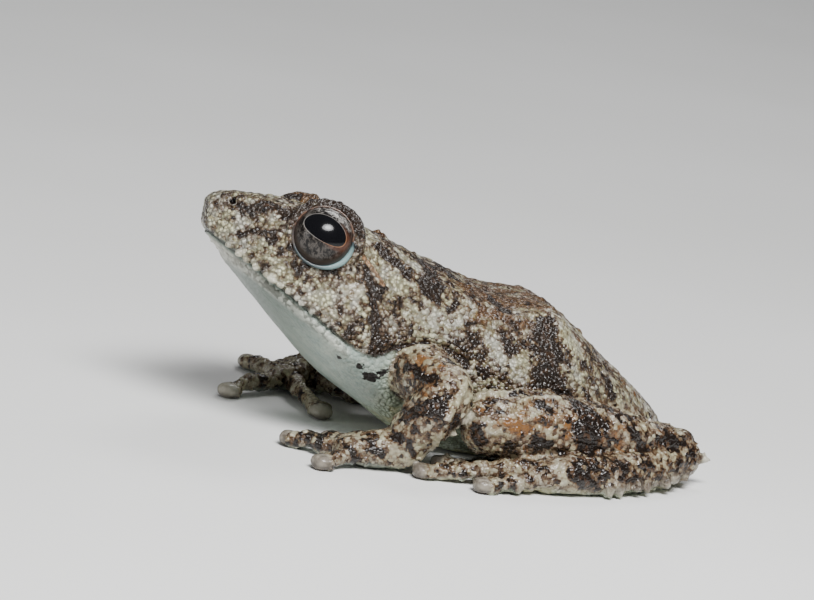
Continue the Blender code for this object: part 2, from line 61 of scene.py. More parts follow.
def curveThrough(x, knots, values):
    # cubic Hermite curve through the values, its slopes the differences of the neighbours
    knots = np.asarray(knots, float)
    values = np.asarray(values, float)
    slopes = np.gradient(values, knots, axis=0)
    x = np.clip(x, knots[0], knots[-1])
    cell = np.clip(np.searchsorted(knots, x) - 1, 0, len(knots) - 2)
    width = (knots[cell + 1] - knots[cell])[:, None]
    t = (x - knots[cell])[:, None] / width
    return ((2 * t**3 - 3 * t**2 + 1) * values[cell] + (t**3 - 2 * t**2 + t) * width * slopes[cell]
            + (3 * t**2 - 2 * t**3) * values[cell + 1] + (t**3 - t**2) * width * slopes[cell + 1])


def hash01(cells, seed):
    # a fixed number from 0 to 1 for each whole-number cell
    mix = np.array([127.1, 311.7, 74.7]) + seed * 0.731
    return np.modf(np.abs(np.sin(cells @ mix) * 43758.5453))[0]


def softNoise(points, size, seed):
    # lattice of fixed numbers, blended across each cell with an S curve; about -1 to 1
    p = points / size
    low = np.floor(p)
    t = p - low
    t = t * t * (3 - 2 * t)
    total = np.zeros(len(p))
    for corner in np.ndindex(2, 2, 2):
        weight = np.prod(np.where(np.array(corner) == 1, t, 1 - t), axis=1)
        total += weight * hash01(low + corner, seed)
    return total * 2 - 1


def grains(points, size, seed):
    # distance to the nearest of one point scattered in each cell, in cells, and that point's own number
    p = points / size
    low = np.floor(p)
    best = np.full(len(p), 9.0)
    own = np.zeros(len(p))
    for step in np.ndindex(3, 3, 3):
        cell = low + np.array(step) - 1
        seat = cell + np.stack([hash01(cell, seed + k) for k in range(3)], 1)
        far = np.linalg.norm(p - seat, axis=1)
        near = far < best
        best = np.where(near, far, best)
        own = np.where(near, hash01(cell, seed + 7), own)
    return best, own


# the body: a closed section through eight lines at each station, its head then leaned and turned
body = {
    # x, ridge z, back y z, side y z, lower y z, belly z
    "lines": np.array([
        (-10.18, 10.24, 0.60, 10.14, 0.84, 9.40, 0.66, 8.66, 8.54),
        (-9.86, 10.42, 0.84, 10.26, 1.16, 9.05, 0.86, 8.40, 8.30),
        (-9.10, 10.56, 1.20, 10.36, 1.95, 8.42, 1.35, 7.80, 7.68),
        (-8.00, 10.58, 1.80, 10.28, 3.00, 7.62, 2.20, 6.70, 6.46),
        (-6.20, 10.46, 2.50, 10.00, 3.95, 6.45, 2.95, 5.10, 4.76),
        (-4.00, 10.15, 2.95, 9.45, 4.50, 5.00, 3.40, 3.25, 2.80),
        (-2.00, 9.42, 3.10, 8.70, 4.55, 4.90, 3.50, 2.05, 1.55),
        (0.50, 8.48, 3.20, 7.80, 4.55, 4.40, 3.55, 0.85, 0.10),
        (3.50, 7.45, 3.30, 6.85, 4.85, 3.60, 3.70, 0.25, -0.15),
        (6.90, 7.00, 3.10, 6.35, 4.85, 3.00, 3.75, 0.15, -0.15),
        (9.60, 5.05, 2.60, 4.50, 3.95, 2.20, 3.00, 0.10, -0.15),
        (11.80, 3.42, 1.80, 3.00, 2.60, 1.70, 1.95, 0.30, 0.00),
        (13.20, 2.30, 0.95, 2.00, 1.35, 1.30, 1.00, 0.70, 0.50),
        (13.70, 1.70, 0.40, 1.60, 0.55, 1.25, 0.40, 0.95, 0.88)]),
    "snoutTip": (-10.30, 0.0, 9.4),
    "ventTip": (13.78, 0.0, 1.28),
    "lean": 9.5,          # degrees that the head leans, its left eye the higher one
    "turn": 5.0,          # degrees that it is turned to the frog's right
    "leanFrom": 3.0,      # the lean begins ahead of this station
    "leanFull": -3.4,     # and is whole ahead of this one
    "stations": 240,
    "sides": 200,
}

eye = {
    "centre": (-5.12, 3.28, 9.03),   # before the head leans; the left eye mirrors it
    "radius": 1.45,
    "forward": 7.0,                  # degrees that the eye looks ahead of straight sideways
    "raised": 22.0,                  # and above the level
    "pupil": (0.735, 0.425),         # half length and half height, in eye radii
    "pupilPitch": 31.0,              # degrees that its front end is the higher one
    "lidForward": 9.0,               # the same two turns for the opening of the lids
    "lidRaised": 12.0,
    "lidThick": 0.22,
    "lidEdge": (72.5, 8.5),          # degrees off the facing direction, and how much more at the lower lid
    "rings": 90,
    "spokes": 120,
    # the rim between eye and lid: its points round the opening and round its own section, its least
    # thickness and what the lower lid adds, its distance from the facing line, and its depth
    "marginPoints": (160, 20),
    "marginThick": (0.050, 0.105),
    "marginReach": 1.372,
    "marginDepth": (0.47, -0.12),
    # round the opening from the front (0) over the top (90) and the rear (180) to the bottom (270):
    # width of the pale lower lid and extra thickness of the skin outside it
    "around": [0, 30, 60, 90, 120, 150, 180, 195, 225, 270, 315, 340],
    "lower": [0.08, 0.0, 0.0, 0.0, 0.0, 0.0, 0.0, 0.60, 1.0, 0.44, 0.16, 0.10],
    "thicker": [0.0, 0.02, 0.04, 0.06, 0.12, 0.22, 0.22, 0.16, 0.0, -0.04, -0.04, 0.0],
}


def leanHead(points):
    # turns points about the frog's long axis and then sideways, fading out behind the shoulders
    points = np.array(points, float)
    x, y, z = np.moveaxis(points, -1, 0)
    width = body["leanFrom"] - body["leanFull"]
    share = np.clip((body["leanFrom"] - x) / width, 0, 1)
    fade = share * share * (3 - 2 * share)
    lean = math.radians(body["lean"]) * fade
    turn = math.radians(body["turn"]) * fade
    axisZ = 5.0 - 0.35 * x
    y2 = y * np.cos(lean) + (z - axisZ) * np.sin(lean)
    z2 = (z - axisZ) * np.cos(lean) - y * np.sin(lean) + axisZ
    reach = np.clip(body["leanFull"] - x, 0, None)
    bend = math.tan(math.radians(body["turn"])) * (width * (share**3 - share**4 / 2) + reach)
    return np.stack([x + y2 * np.sin(turn), y2 * np.cos(turn) + bend, z2], -1)


def bodySurface(x, s):
    # closed Catmull-Rom section through the eight lines at station x; s is 0 on the ridge,
    # 2 on the left side, 4 on the belly and 6 on the right side
    x, s = np.broadcast_arrays(np.asarray(x, float), np.asarray(s, float))
    shape = x.shape
    row = curveThrough(x.ravel(), body["lines"][:, 0], body["lines"][:, 1:])
    top, backY, backZ, sideY, sideZ, lowY, lowZ, belly = row.T
    none = np.zeros_like(top)
    ringY = np.stack([none, -backY, -sideY, -lowY, none, lowY, sideY, backY], 1)
    ringZ = np.stack([top, backZ, sideZ, lowZ, belly, lowZ, sideZ, backZ], 1)
    s = s.ravel() % 8
    k = np.floor(s).astype(int)
    t = s - k
    weights = [-t**3 + 2 * t**2 - t, 3 * t**3 - 5 * t**2 + 2, -3 * t**3 + 4 * t**2 + t, t**3 - t**2]
    each = np.arange(len(s))
    y = sum(w * ringY[each, (k + j) % 8] for w, j in zip(weights, (-1, 0, 1, 2))) / 2
    z = sum(w * ringZ[each, (k + j) % 8] for w, j in zip(weights, (-1, 0, 1, 2))) / 2
    return leanHead(np.stack([x.ravel(), y, z], 1)).reshape(*shape, 3)


eyeLow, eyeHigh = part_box("eye_left")
eyeSeat = leanHead(np.array([eye["centre"][0], -eye["centre"][1], eye["centre"][2]]))
shift = np.array((eyeLow + eyeHigh) / 2) / mm - eyeSeat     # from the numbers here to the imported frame


def onSkin(places, side):
    # points of the body's skin at (station, s) places of the left side, or their likes on the right
    places = np.array(places, float)
    s = places[:, 1] if side < 0 else 8 - places[:, 1]
    return bodySurface(places[:, 0], s) + shift


def closedGrid(grid, firstPole, lastPole):
    # a tube of rings, its two ends closed by fans to a pole each
    rings, sides = grid.shape[:2]
    index = np.arange(rings * sides).reshape(rings, sides)
    a, b = index[:-1], index[1:]
    quads = np.stack([a, np.roll(a, -1, 1), np.roll(b, -1, 1), b], 2).reshape(-1, 4)
    first, last = rings * sides, rings * sides + 1
    fanA = np.stack([np.full(sides, first), np.roll(index[0], -1), index[0]], 1)
    fanB = np.stack([np.full(sides, last), index[-1], np.roll(index[-1], -1)], 1)
    points = np.vstack([grid.reshape(-1, 3), firstPole, lastPole])
    return points, quads, np.vstack([fanA, fanB])


def bodyShape():
    # the body surface over all its stations
    x = np.linspace(body["lines"][0, 0], body["lines"][-1, 0], body["stations"])
    s = np.linspace(0, 8, body["sides"], endpoint=False)
    grid = bodySurface(x[:, None], s[None, :])
    return closedGrid(grid, leanHead(body["snoutTip"]), leanHead(body["ventTip"]))


# limbs: paths of x, y, z, half width and half height, those without a side's name made on both sides
limbs = {
    "upperArmLeft": [(-0.6, -3.0, 4.2, 1.35, 1.35), (-0.05, -5.2, 3.95, 1.34, 1.38),
                     (0.45, -6.9, 3.85, 1.15, 1.22)],
    "forearmLeft": [(0.45, -7.1, 3.8, 1.22, 1.10), (-0.15, -7.2, 2.9, 1.40, 1.18),
                    (-0.85, -7.1, 1.95, 1.22, 1.04), (-1.4, -7.0, 1.0, 0.98, 0.90)],
    "palmLeft": [(-1.5, -6.95, 0.90, 0.90, 0.90), (-2.5, -6.9, 0.80, 0.98, 0.86),
                 (-3.6, -6.75, 0.70, 1.05, 0.70)],
    "upperArmRight": [(-0.6, 3.0, 4.2, 1.35, 1.35), (-0.1, 5.2, 3.95, 1.34, 1.38),
                      (0.5, 6.9, 3.75, 1.15, 1.22)],
    "forearmRight": [(0.50, 7.1, 3.6, 1.18, 1.10), (-0.3, 7.4, 2.8, 1.30, 1.16),
                     (-1.2, 7.4, 1.9, 1.10, 1.02), (-1.9, 7.2, 1.15, 0.88, 0.82)],
    "palmRight": [(-1.85, 7.2, 0.98, 0.85, 0.88), (-2.7, 6.9, 0.78, 0.96, 0.76),
                  (-3.5, 6.5, 0.66, 1.02, 0.62)],
    "thigh": [(10.9, -2.0, 1.70, 1.20, 1.22), (8.6, -3.9, 1.85, 1.50, 1.42), (5.6, -5.5, 2.30, 1.55, 1.50),
              (2.7, -6.7, 2.70, 1.28, 1.30)],
    "shank": [(2.5, -7.3, 2.50, 1.25, 1.33), (5.0, -7.15, 2.54, 1.42, 1.51), (8.0, -6.6, 2.42, 1.38, 1.36),
              (11.0, -5.75, 2.0, 1.05, 1.05), (12.9, -5.1, 1.65, 0.86, 0.92)],
    "tarsus": [(13.15, -5.05, 1.22, 0.92, 1.0), (11.4, -6.45, 1.00, 0.92, 0.97),
               (9.4, -7.65, 0.90, 0.95, 0.96), (7.6, -8.4, 0.86, 0.90, 0.92)],
    "sole": [(7.4, -8.45, 0.88, 0.90, 0.94), (6.0, -8.72, 0.84, 1.0, 0.88), (4.8, -8.72, 0.70, 1.0, 0.68)],
    "fingersLeft": [
        [(-1.9, -6.6, 0.60, 0.42, 0.42), (-2.0, -5.6, 0.48, 0.33, 0.33), (-2.1, -4.7, 0.40, 0.30, 0.28)],
        [(-3.1, -6.4, 0.60, 0.45, 0.42), (-3.5, -5.4, 0.50, 0.34, 0.34), (-3.7, -4.4, 0.40, 0.31, 0.28)],
        [(-3.4, -6.5, 0.66, 0.48, 0.50), (-4.45, -5.85, 0.50, 0.38, 0.38), (-5.1, -5.25, 0.52, 0.36, 0.36),
         (-5.5, -4.8, 0.40, 0.33, 0.30)],
        [(-3.3, -7.1, 0.62, 0.46, 0.48), (-4.2, -7.65, 0.50, 0.38, 0.38), (-4.8, -7.9, 0.40, 0.36, 0.31)]],
    "fingersRight": [
        [(-2.3, 6.5, 0.60, 0.42, 0.42), (-1.4, 5.7, 0.48, 0.33, 0.33), (-0.6, 5.3, 0.40, 0.30, 0.28)],
        [(-3.1, 6.1, 0.60, 0.45, 0.42), (-3.25, 4.6, 0.50, 0.34, 0.34), (-3.1, 2.9, 0.42, 0.32, 0.30),
         (-3.0, 1.9, 0.38, 0.31, 0.28)],
        [(-3.5, 6.2, 0.64, 0.48, 0.48), (-4.75, 5.45, 0.54, 0.38, 0.38), (-5.8, 4.7, 0.50, 0.35, 0.34),
         (-6.4, 4.25, 0.40, 0.32, 0.28)],
        [(-3.4, 6.9, 0.60, 0.46, 0.46), (-3.9, 8.2, 0.50, 0.38, 0.38), (-4.2, 9.45, 0.40, 0.35, 0.30)]],
    "toes": [
        [(5.9, -8.1, 0.52, 0.40, 0.38), (5.4, -7.3, 0.42, 0.30, 0.30), (4.9, -6.6, 0.36, 0.28, 0.26)],
        [(5.2, -8.1, 0.54, 0.42, 0.40), (4.3, -7.3, 0.44, 0.32, 0.32), (3.4, -6.6, 0.36, 0.30, 0.27)],
        [(4.9, -8.3, 0.74, 0.50, 0.60), (3.6, -7.9, 0.62, 0.42, 0.48), (2.4, -7.25, 0.44, 0.33, 0.32),
         (1.4, -6.75, 0.36, 0.32, 0.27)],
        [(4.7, -8.6, 0.78, 0.54, 0.68), (3.2, -8.62, 0.70, 0.46, 0.56), (1.7, -8.5, 0.54, 0.38, 0.38),
         (0.1, -8.25, 0.40, 0.35, 0.30)],
        [(4.9, -9.1, 0.58, 0.48, 0.46), (3.6, -9.5, 0.50, 0.40, 0.40), (2.58, -9.7, 0.40, 0.36, 0.31)]],
}


pad = {
    # along the disc in its own lengths, then its width and height in its own half sizes
    "profile": [(0.10, 0.66, 0.86), (0.25, 0.84, 0.92), (0.45, 0.98, 0.98), (0.62, 1.0, 1.0),
                (0.78, 0.92, 0.96), (0.90, 0.74, 0.86), (0.98, 0.50, 0.64)],
    "length": 1.12,
    "halfWidth": 0.58,
    "halfHeight": 0.37,
}


def mirrored(path):
    return [(x, -y, z, *size) for x, y, z, *size in path]


def limbRows(path, withPad, rings=9):
    # a smooth path of centres and half sizes; a pad adds a flat disc at the end
    knots = np.array(path, float)
    count = (len(knots) - 1) * rings + 1
    rows = curveThrough(np.linspace(0, len(knots) - 1, count), np.arange(len(knots)), knots)
    if withPad:
        heading = rows[-1, :3] - rows[-2, :3]
        heading[2] = 0
        heading = unit(heading)
        share, wide, tall = np.array(pad["profile"]).T
        centres = knots[-1, :3] + heading * (pad["length"] * share)[:, None]
        centres[:, 2] = pad["halfHeight"] * 0.80
        extra = np.column_stack([centres, pad["halfWidth"] * wide, pad["halfHeight"] * tall])
        rows = np.vstack([rows, extra])
    return rows


def limbShape(path, withPad=False, up=(0, 0, 1), sides=40):
    # elliptic rings along the path, with round ends
    rows = limbRows(path, withPad)
    centre, half = rows[:, :3], rows[:, 3:5]
    tangent = unit(np.gradient(centre, axis=0))
    for end in (0, -1):
        if withPad and end == -1:
            continue
        sign = -1 if end == 0 else 1
        angle = np.radians([18, 36, 54, 70, 82])
        caps = centre[end] + sign * tangent[end] * half[end].mean() * np.sin(angle)[:, None]
        sizes = half[end] * np.cos(angle)[:, None]
        same = np.repeat(tangent[[end]], len(angle), axis=0)
        if end == 0:
            centre, half = np.vstack([caps[::-1], centre]), np.vstack([sizes[::-1], half])
            tangent = np.vstack([same, tangent])
        else:
            centre, half = np.vstack([centre, caps]), np.vstack([half, sizes])
            tangent = np.vstack([tangent, same])
    side = unit(np.cross(np.array(up, float), tangent))
    over = np.cross(tangent, side)
    if withPad:
        # the joints and small pads under each finger swell a little
        walked = np.cumsum(np.linalg.norm(np.diff(centre, axis=0, prepend=centre[:1]), axis=1))
        knobs = 1 + 0.11 * np.sin(walked * 6.5) * smooth(walked[-1] - walked, 1.0, 1.5)
        half = half * knobs[:, None]
    turn = np.linspace(0, 2 * np.pi, sides, endpoint=False)
    grid = (centre[:, None] + np.cos(turn)[None, :, None] * side[:, None] * half[:, :1, None]
            + np.sin(turn)[None, :, None] * over[:, None] * half[:, 1:2, None])
    return closedGrid(grid, centre[0] - tangent[0] * 0.02, centre[-1] + tangent[-1] * 0.02)


def headDirection(side, forward, raised):
    # a direction from the eye, ahead of straight sideways and above the level, as the head holds it
    base = np.array([eye["centre"][0], side * eye["centre"][1], eye["centre"][2]])
    f, r = math.radians(forward), math.radians(raised)
    way = np.array([-math.sin(f) * math.cos(r), side * math.cos(f) * math.cos(r), math.sin(r)])
    return leanHead(base), unit(leanHead(base + way * 0.01) - leanHead(base))


def eyeAxes(side):
    # the eye's middle, the way it looks, its pupil's long way and the way across it
    seat, look = headDirection(side, eye["forward"], eye["raised"])
    pitch = math.radians(eye["pupilPitch"])
    _, along = headDirection(side, -90, 0)
    _, down = headDirection(side, 0, -90)
    along = along * math.cos(pitch) + down * math.sin(pitch)
    along = unit(along - look * (along @ look))
    return seat + shift, look, along, np.cross(look, along) * -side


def lidAxes(side):
    # the middle of the lids' opening: where it faces, the way to its front and the way up
    seat, look = headDirection(side, eye["lidForward"], eye["lidRaised"])
    front = unit(np.cross(look, (0, 0, 1.0))) * -side
    return seat + shift, look, front, np.cross(look, front) * side


def aroundLid(name, turn):
    return np.interp(np.degrees(turn) % 360, eye["around"], eye[name], period=360)


def lidShape(side):
    # a thick cup of skin round the eye, whose radius rises with an S curve at the edge of the opening
    seat, look, front, over = lidAxes(side)
    turn = np.linspace(0, 2 * np.pi, 120, endpoint=False)[None, :]
    edge = eye["lidEdge"][0] + eye["lidEdge"][1] * aroundLid("lower", turn)
    share = np.linspace(0, 1, 36)[:, None]
    polar = np.vstack([np.full_like(edge, 20.0), edge * 0.6, edge - 4, edge + (160 - edge) * share])
    rise = smooth(polar - edge, -4, 7)
    radius = 1.20 + rise * (0.33 + eye["lidThick"] + aroundLid("thicker", turn) * np.sin(np.radians(polar)))
    polar = np.radians(polar)
    ray = (np.cos(polar)[..., None] * look + np.sin(polar)[..., None]
           * (np.cos(turn)[..., None] * front + np.sin(turn)[..., None] * over))
    grid = seat - shift + ray * radius[..., None]
    return closedGrid(grid, seat - shift + look * 1.15, seat - shift - look * 1.3)


# warts, cones and beads
warts = {
    # rows of cones along a limb's outer edge: first and last share of its length, the way out
    # (x, away from the body, z), how many, radius, length and how pale the tips are
    "forearmCones": (0.15, 0.95, (1.0, 0.55, -0.35), 9, 0.22, 0.30, 0.45),
    "tarsusCones": (0.04, 0.90, (0.25, 0.85, -0.45), 10, 0.34, 0.50, 0.30),
    "toeCones": (0.0, 0.8, (0.1, 1.0, -0.15), 4, 0.30, 0.27, 0.0),
    "palmCones": (0.1, 0.9, (0.1, 1.0, -0.25), 4, 0.26, 0.20, 0.0),
    "spur": (0.62, 0.34, 0.86),      # how far behind the heel's middle it starts, radius, length
    "coneSides": 14,
    "lipBeads": 25,                  # on each side
    "lipBeadsFromTo": (-9.75, -4.3),     # stations of the first and the last
    # degrees round the lids' opening from the front over the top, and degrees off its facing
    "lidWarts": [(25, 100), (48, 114), (66, 97), (88, 110), (108, 95), (128, 108), (150, 98)],
    "lidWartSize": (0.19, 0.12),     # radius and height
    "backWarts": 150,
    "seed": 5,
}
coneTips = []       # place, radius and paleness of each cone's tip, filled as the cones are made


def coneShape(place, axis, radius, length, tipPale):
    # a blunt cone whose radius falls faster towards its tip
    axis = unit(np.array(axis, float))
    helper = np.array([1.0, 0, 0]) if abs(axis[0]) < 0.8 else np.array([0, 1.0, 0])
    side = unit(np.cross(axis, helper))
    over = np.cross(axis, side)
    t = np.array([-0.6, -0.2, 0.15, 0.4, 0.6, 0.78, 0.9, 0.97])
    wide = radius * (1 - np.clip(t, 0, 1) ** 1.35) ** 0.70
    turn = np.linspace(0, 2 * np.pi, warts["coneSides"], endpoint=False)
    ring = np.cos(turn)[:, None] * side + np.sin(turn)[:, None] * over
    grid = np.array(place) + axis * (length * t)[:, None, None] + ring[None] * wide[:, None, None]
    coneTips.append((np.array(place) + axis * length * 0.85 + shift, radius, tipPale))
    return closedGrid(grid, grid[0].mean(0), grid[-1].mean(0) + axis * length * 0.04)


def fringeShapes(path, cones, side):
    # cones along the outer edge of a limb, their size and bend a slow sine of their number
    start, end, (outX, outY, outZ), count, radius, length, tipPale = cones
    knots = np.array(path, float)
    rows = curveThrough(np.linspace(start, end, count) * (len(knots) - 1), np.arange(len(knots)), knots)
    out = unit(np.array([outX, side * outY, outZ]))
    order = np.arange(count) + path[0][0]
    grow = 1 + 0.34 * np.sin(order * 2.1)
    bent = np.stack([0.30 * np.sin(order * 3.3), np.zeros(count), 0.28 * np.sin(order * 4.7)], 1)
    return [coneShape(row[:3] + out * row[3] * 0.84, out + b, radius * g, length * g, tipPale)
            for row, g, b in zip(rows, grow, bent)]


def gatherShapes():
    # all the closed forms that the skin is made of, and the limbs' paths for the fields over it
    shapes = [bodyShape(), lidShape(-1), lidShape(1)]
    tracks = []                      # limb, path, has a pad, side

    def addLimb(name, path, side, withPad=False, up=(0, 0, 1)):
        shapes.append(limbShape(path, withPad, up, 28 if withPad else 48))
        tracks.append((name, path, withPad, side))

    for name in ("upperArmLeft", "forearmLeft", "palmLeft", "upperArmRight", "forearmRight", "palmRight"):
        side = -1 if name.endswith("Left") else 1
        addLimb(name, limbs[name], side, up=(1, 0, 0) if name.startswith("fore") else (0, 0, 1))
    for name in ("thigh", "shank", "tarsus", "sole"):
        addLimb(name, limbs[name], -1)
        addLimb(name, mirrored(limbs[name]), 1)
    for path in limbs["fingersLeft"]:
        addLimb("finger", path, -1, True)
    for path in limbs["fingersRight"]:
        addLimb("finger", path, 1, True)
    for path in limbs["toes"]:
        addLimb("toe", path, -1, True)
        addLimb("toe", mirrored(path), 1, True)
    reach, radius, length = warts["spur"]
    for side, sideName in ((-1, "Left"), (1, "Right")):
        tarsus, outerToe = limbs["tarsus"], limbs["toes"][-1]
        if side > 0:
            tarsus, outerToe = mirrored(tarsus), mirrored(outerToe)
        shapes.extend(fringeShapes(limbs["forearm" + sideName], warts["forearmCones"], side))
        shapes.extend(fringeShapes(tarsus, warts["tarsusCones"], side))
        shapes.extend(fringeShapes(outerToe, warts["toeCones"], side))
        axis = np.array([1.0, side * 0.10, 0.04])
        shapes.append(coneShape(np.array(tarsus[0][:3]) + axis * reach, axis, radius, length, 1.0))
        shapes.extend(fringeShapes(limbs["palm" + sideName], warts["palmCones"], side))
    return shapes, tracks


def meshFrom(name, shapes):
    # joins (points, quads, triangles) shapes into one mesh
    points, loops, starts, total, base = [], [], [], 0, 0
    for shape in shapes:
        for faces in shape[1:]:
            if len(faces):
                loops.append((faces + base).ravel())
                starts.append(total + np.arange(len(faces)) * faces.shape[1])
                total += faces.size
        points.append(shape[0])
        base += len(shape[0])
    points = np.vstack(points) * mm
    mesh = bpy.data.meshes.new(name)
    mesh.vertices.add(len(points))
    mesh.vertices.foreach_set("co", points.astype(np.float32).ravel())
    mesh.loops.add(total)
    mesh.loops.foreach_set("vertex_index", np.concatenate(loops).astype(np.int32))
    starts = np.concatenate(starts)
    mesh.polygons.add(len(starts))
    mesh.polygons.foreach_set("loop_start", starts.astype(np.int32))
    mesh.update(calc_edges=True)
    mesh.validate()
    return mesh


def showMesh(name, mesh):
    obj = bpy.data.objects.new(name, mesh)
    bpy.context.scene.collection.objects.link(obj)
    mesh.shade_smooth()
    return obj


def outwards(mesh):
    # the flow of volume through the faces tells which way they point
    count = len(mesh.polygons)
    centre, normal, area = np.zeros(count * 3), np.zeros(count * 3), np.zeros(count)
    mesh.polygons.foreach_get("center", centre)
    mesh.polygons.foreach_get("normal", normal)
    mesh.polygons.foreach_get("area", area)
    if ((centre * normal).reshape(-1, 3).sum(1) * area).sum() < 0:
        mesh.flip_normals()


def coords(mesh):
    co = np.zeros(len(mesh.vertices) * 3, np.float32)
    mesh.vertices.foreach_get("co", co)
    return co.reshape(-1, 3).astype(float) / mm


def setCoords(mesh, points):
    mesh.vertices.foreach_set("co", (points * mm).astype(np.float32).ravel())
    mesh.update()


def normals(mesh):
    n = np.zeros(len(mesh.vertices) * 3, np.float32)
    mesh.vertex_normals.foreach_get("vector", n)
    return n.reshape(-1, 3).astype(float)


def relax(mesh, rounds, inwards, outAgain):
    # each point moves a share of the way to the mean of its neighbours, then back out by a little more,
    # which smooths steps and holds the volume
    edges = np.zeros(len(mesh.edges) * 2, np.int32)
    mesh.edges.foreach_get("vertices", edges)
    a, b = edges.reshape(-1, 2).T
    points = coords(mesh)
    count = np.bincount(np.concatenate([a, b]), minlength=len(points))[:, None]
    for _ in range(rounds):
        for step in (inwards, outAgain):
            sums = [np.bincount(a, points[b, k], len(points)) + np.bincount(b, points[a, k], len(points))
                    for k in range(3)]
            mean = np.stack(sums, 1) / count
            points += (mean - points) * step
    setCoords(mesh, points)


# the one closed skin round all of these
skin = {
    "voxel": 0.105,
    "smoothing": (3, 0.5, -0.52),    # rounds, way in and way out again
    "triangles": 194000,             # what it is thinned to
    # granules: size of their cells, height and how fast they fall off
    "coarse": (0.46, 0.075, 1.25),
    "fine": (0.27, 0.035, 1.2),
    "swell": (1.1, 0.05),            # size and height of the slow unevenness
    "mouthAbove": (0.05, 0.22, 0.18),    # height, distance from the mouth's plane and width
    "mouthLine": (0.14, -0.10, 0.12),
    "lowerLip": (0.09, -0.40, 0.16),
    "chinMore": 0.14,                # what the lower lip gains at the front
    "beadDrop": 0.12,                # how far the lip's beads hang down
}

shapes, tracks = gatherShapes()
raw = showMesh("rawSkin", meshFrom("rawSkin", [(p + shift, q, t) for p, q, t in shapes]))
joiner = raw.modifiers.new("oneSkin", "REMESH")
joiner.mode = "VOXEL"
joiner.voxel_size = skin["voxel"] * mm
skinMesh = bpy.data.meshes.new_from_object(raw.evaluated_get(bpy.context.evaluated_depsgraph_get()))
bpy.data.objects.remove(raw)
skinMesh.name = "skin"
frogSkin = showMesh("skin", skinMesh)
outwards(skinMesh)
relax(skinMesh, *skin["smoothing"])
print("skin joined:", len(skinMesh.vertices), "points")


def toPath(points, path):
    # distance to a chain of straight lengths, and the share of the chain at the nearest place
    path = np.array(path, float)
    best = np.full(len(points), 1e9)
    share = np.zeros(len(points))
    for i in range(len(path) - 1):
        a, d = path[i], path[i + 1] - path[i]
        t = np.clip(((points - a) @ d) / (d @ d), 0, 1)
        far = np.linalg.norm(points - a - t[:, None] * d, axis=1)
        near = far < best
        best = np.where(near, far, best)
        share = np.where(near, (i + t) / (len(path) - 1), share)
    return best, share


def limbFields(points):
    # for each point the nearest limb's name, its share along it and the distance in limb radii
    ratio = np.full(len(points), 9.0)
    along = np.zeros(len(points))
    which = np.full(len(points), -1)
    for i, (name, path, withPad, side) in enumerate(tracks):
        rows = limbRows(path, withPad, 3)
        rows = rows[::2] if withPad else rows
        radius = rows[:, 3:5].mean()
        low, high = rows[:, :3].min(0) + shift - 2.2, rows[:, :3].max(0) + shift + 2.2
        near = np.where(((points > low) & (points < high)).all(1))[0]
        if not len(near):
            continue
        far, share = toPath(points[near], rows[:, :3] + shift)
        size = np.interp(share, np.linspace(0, 1, len(rows)), rows[:, 3:5].mean(1))
        own = far / np.maximum(size, 0.3 * radius)
        closer = own < ratio[near]
        chosen = near[closer]
        ratio[chosen], along[chosen], which[chosen] = own[closer], share[closer], i
    return ratio, along, which


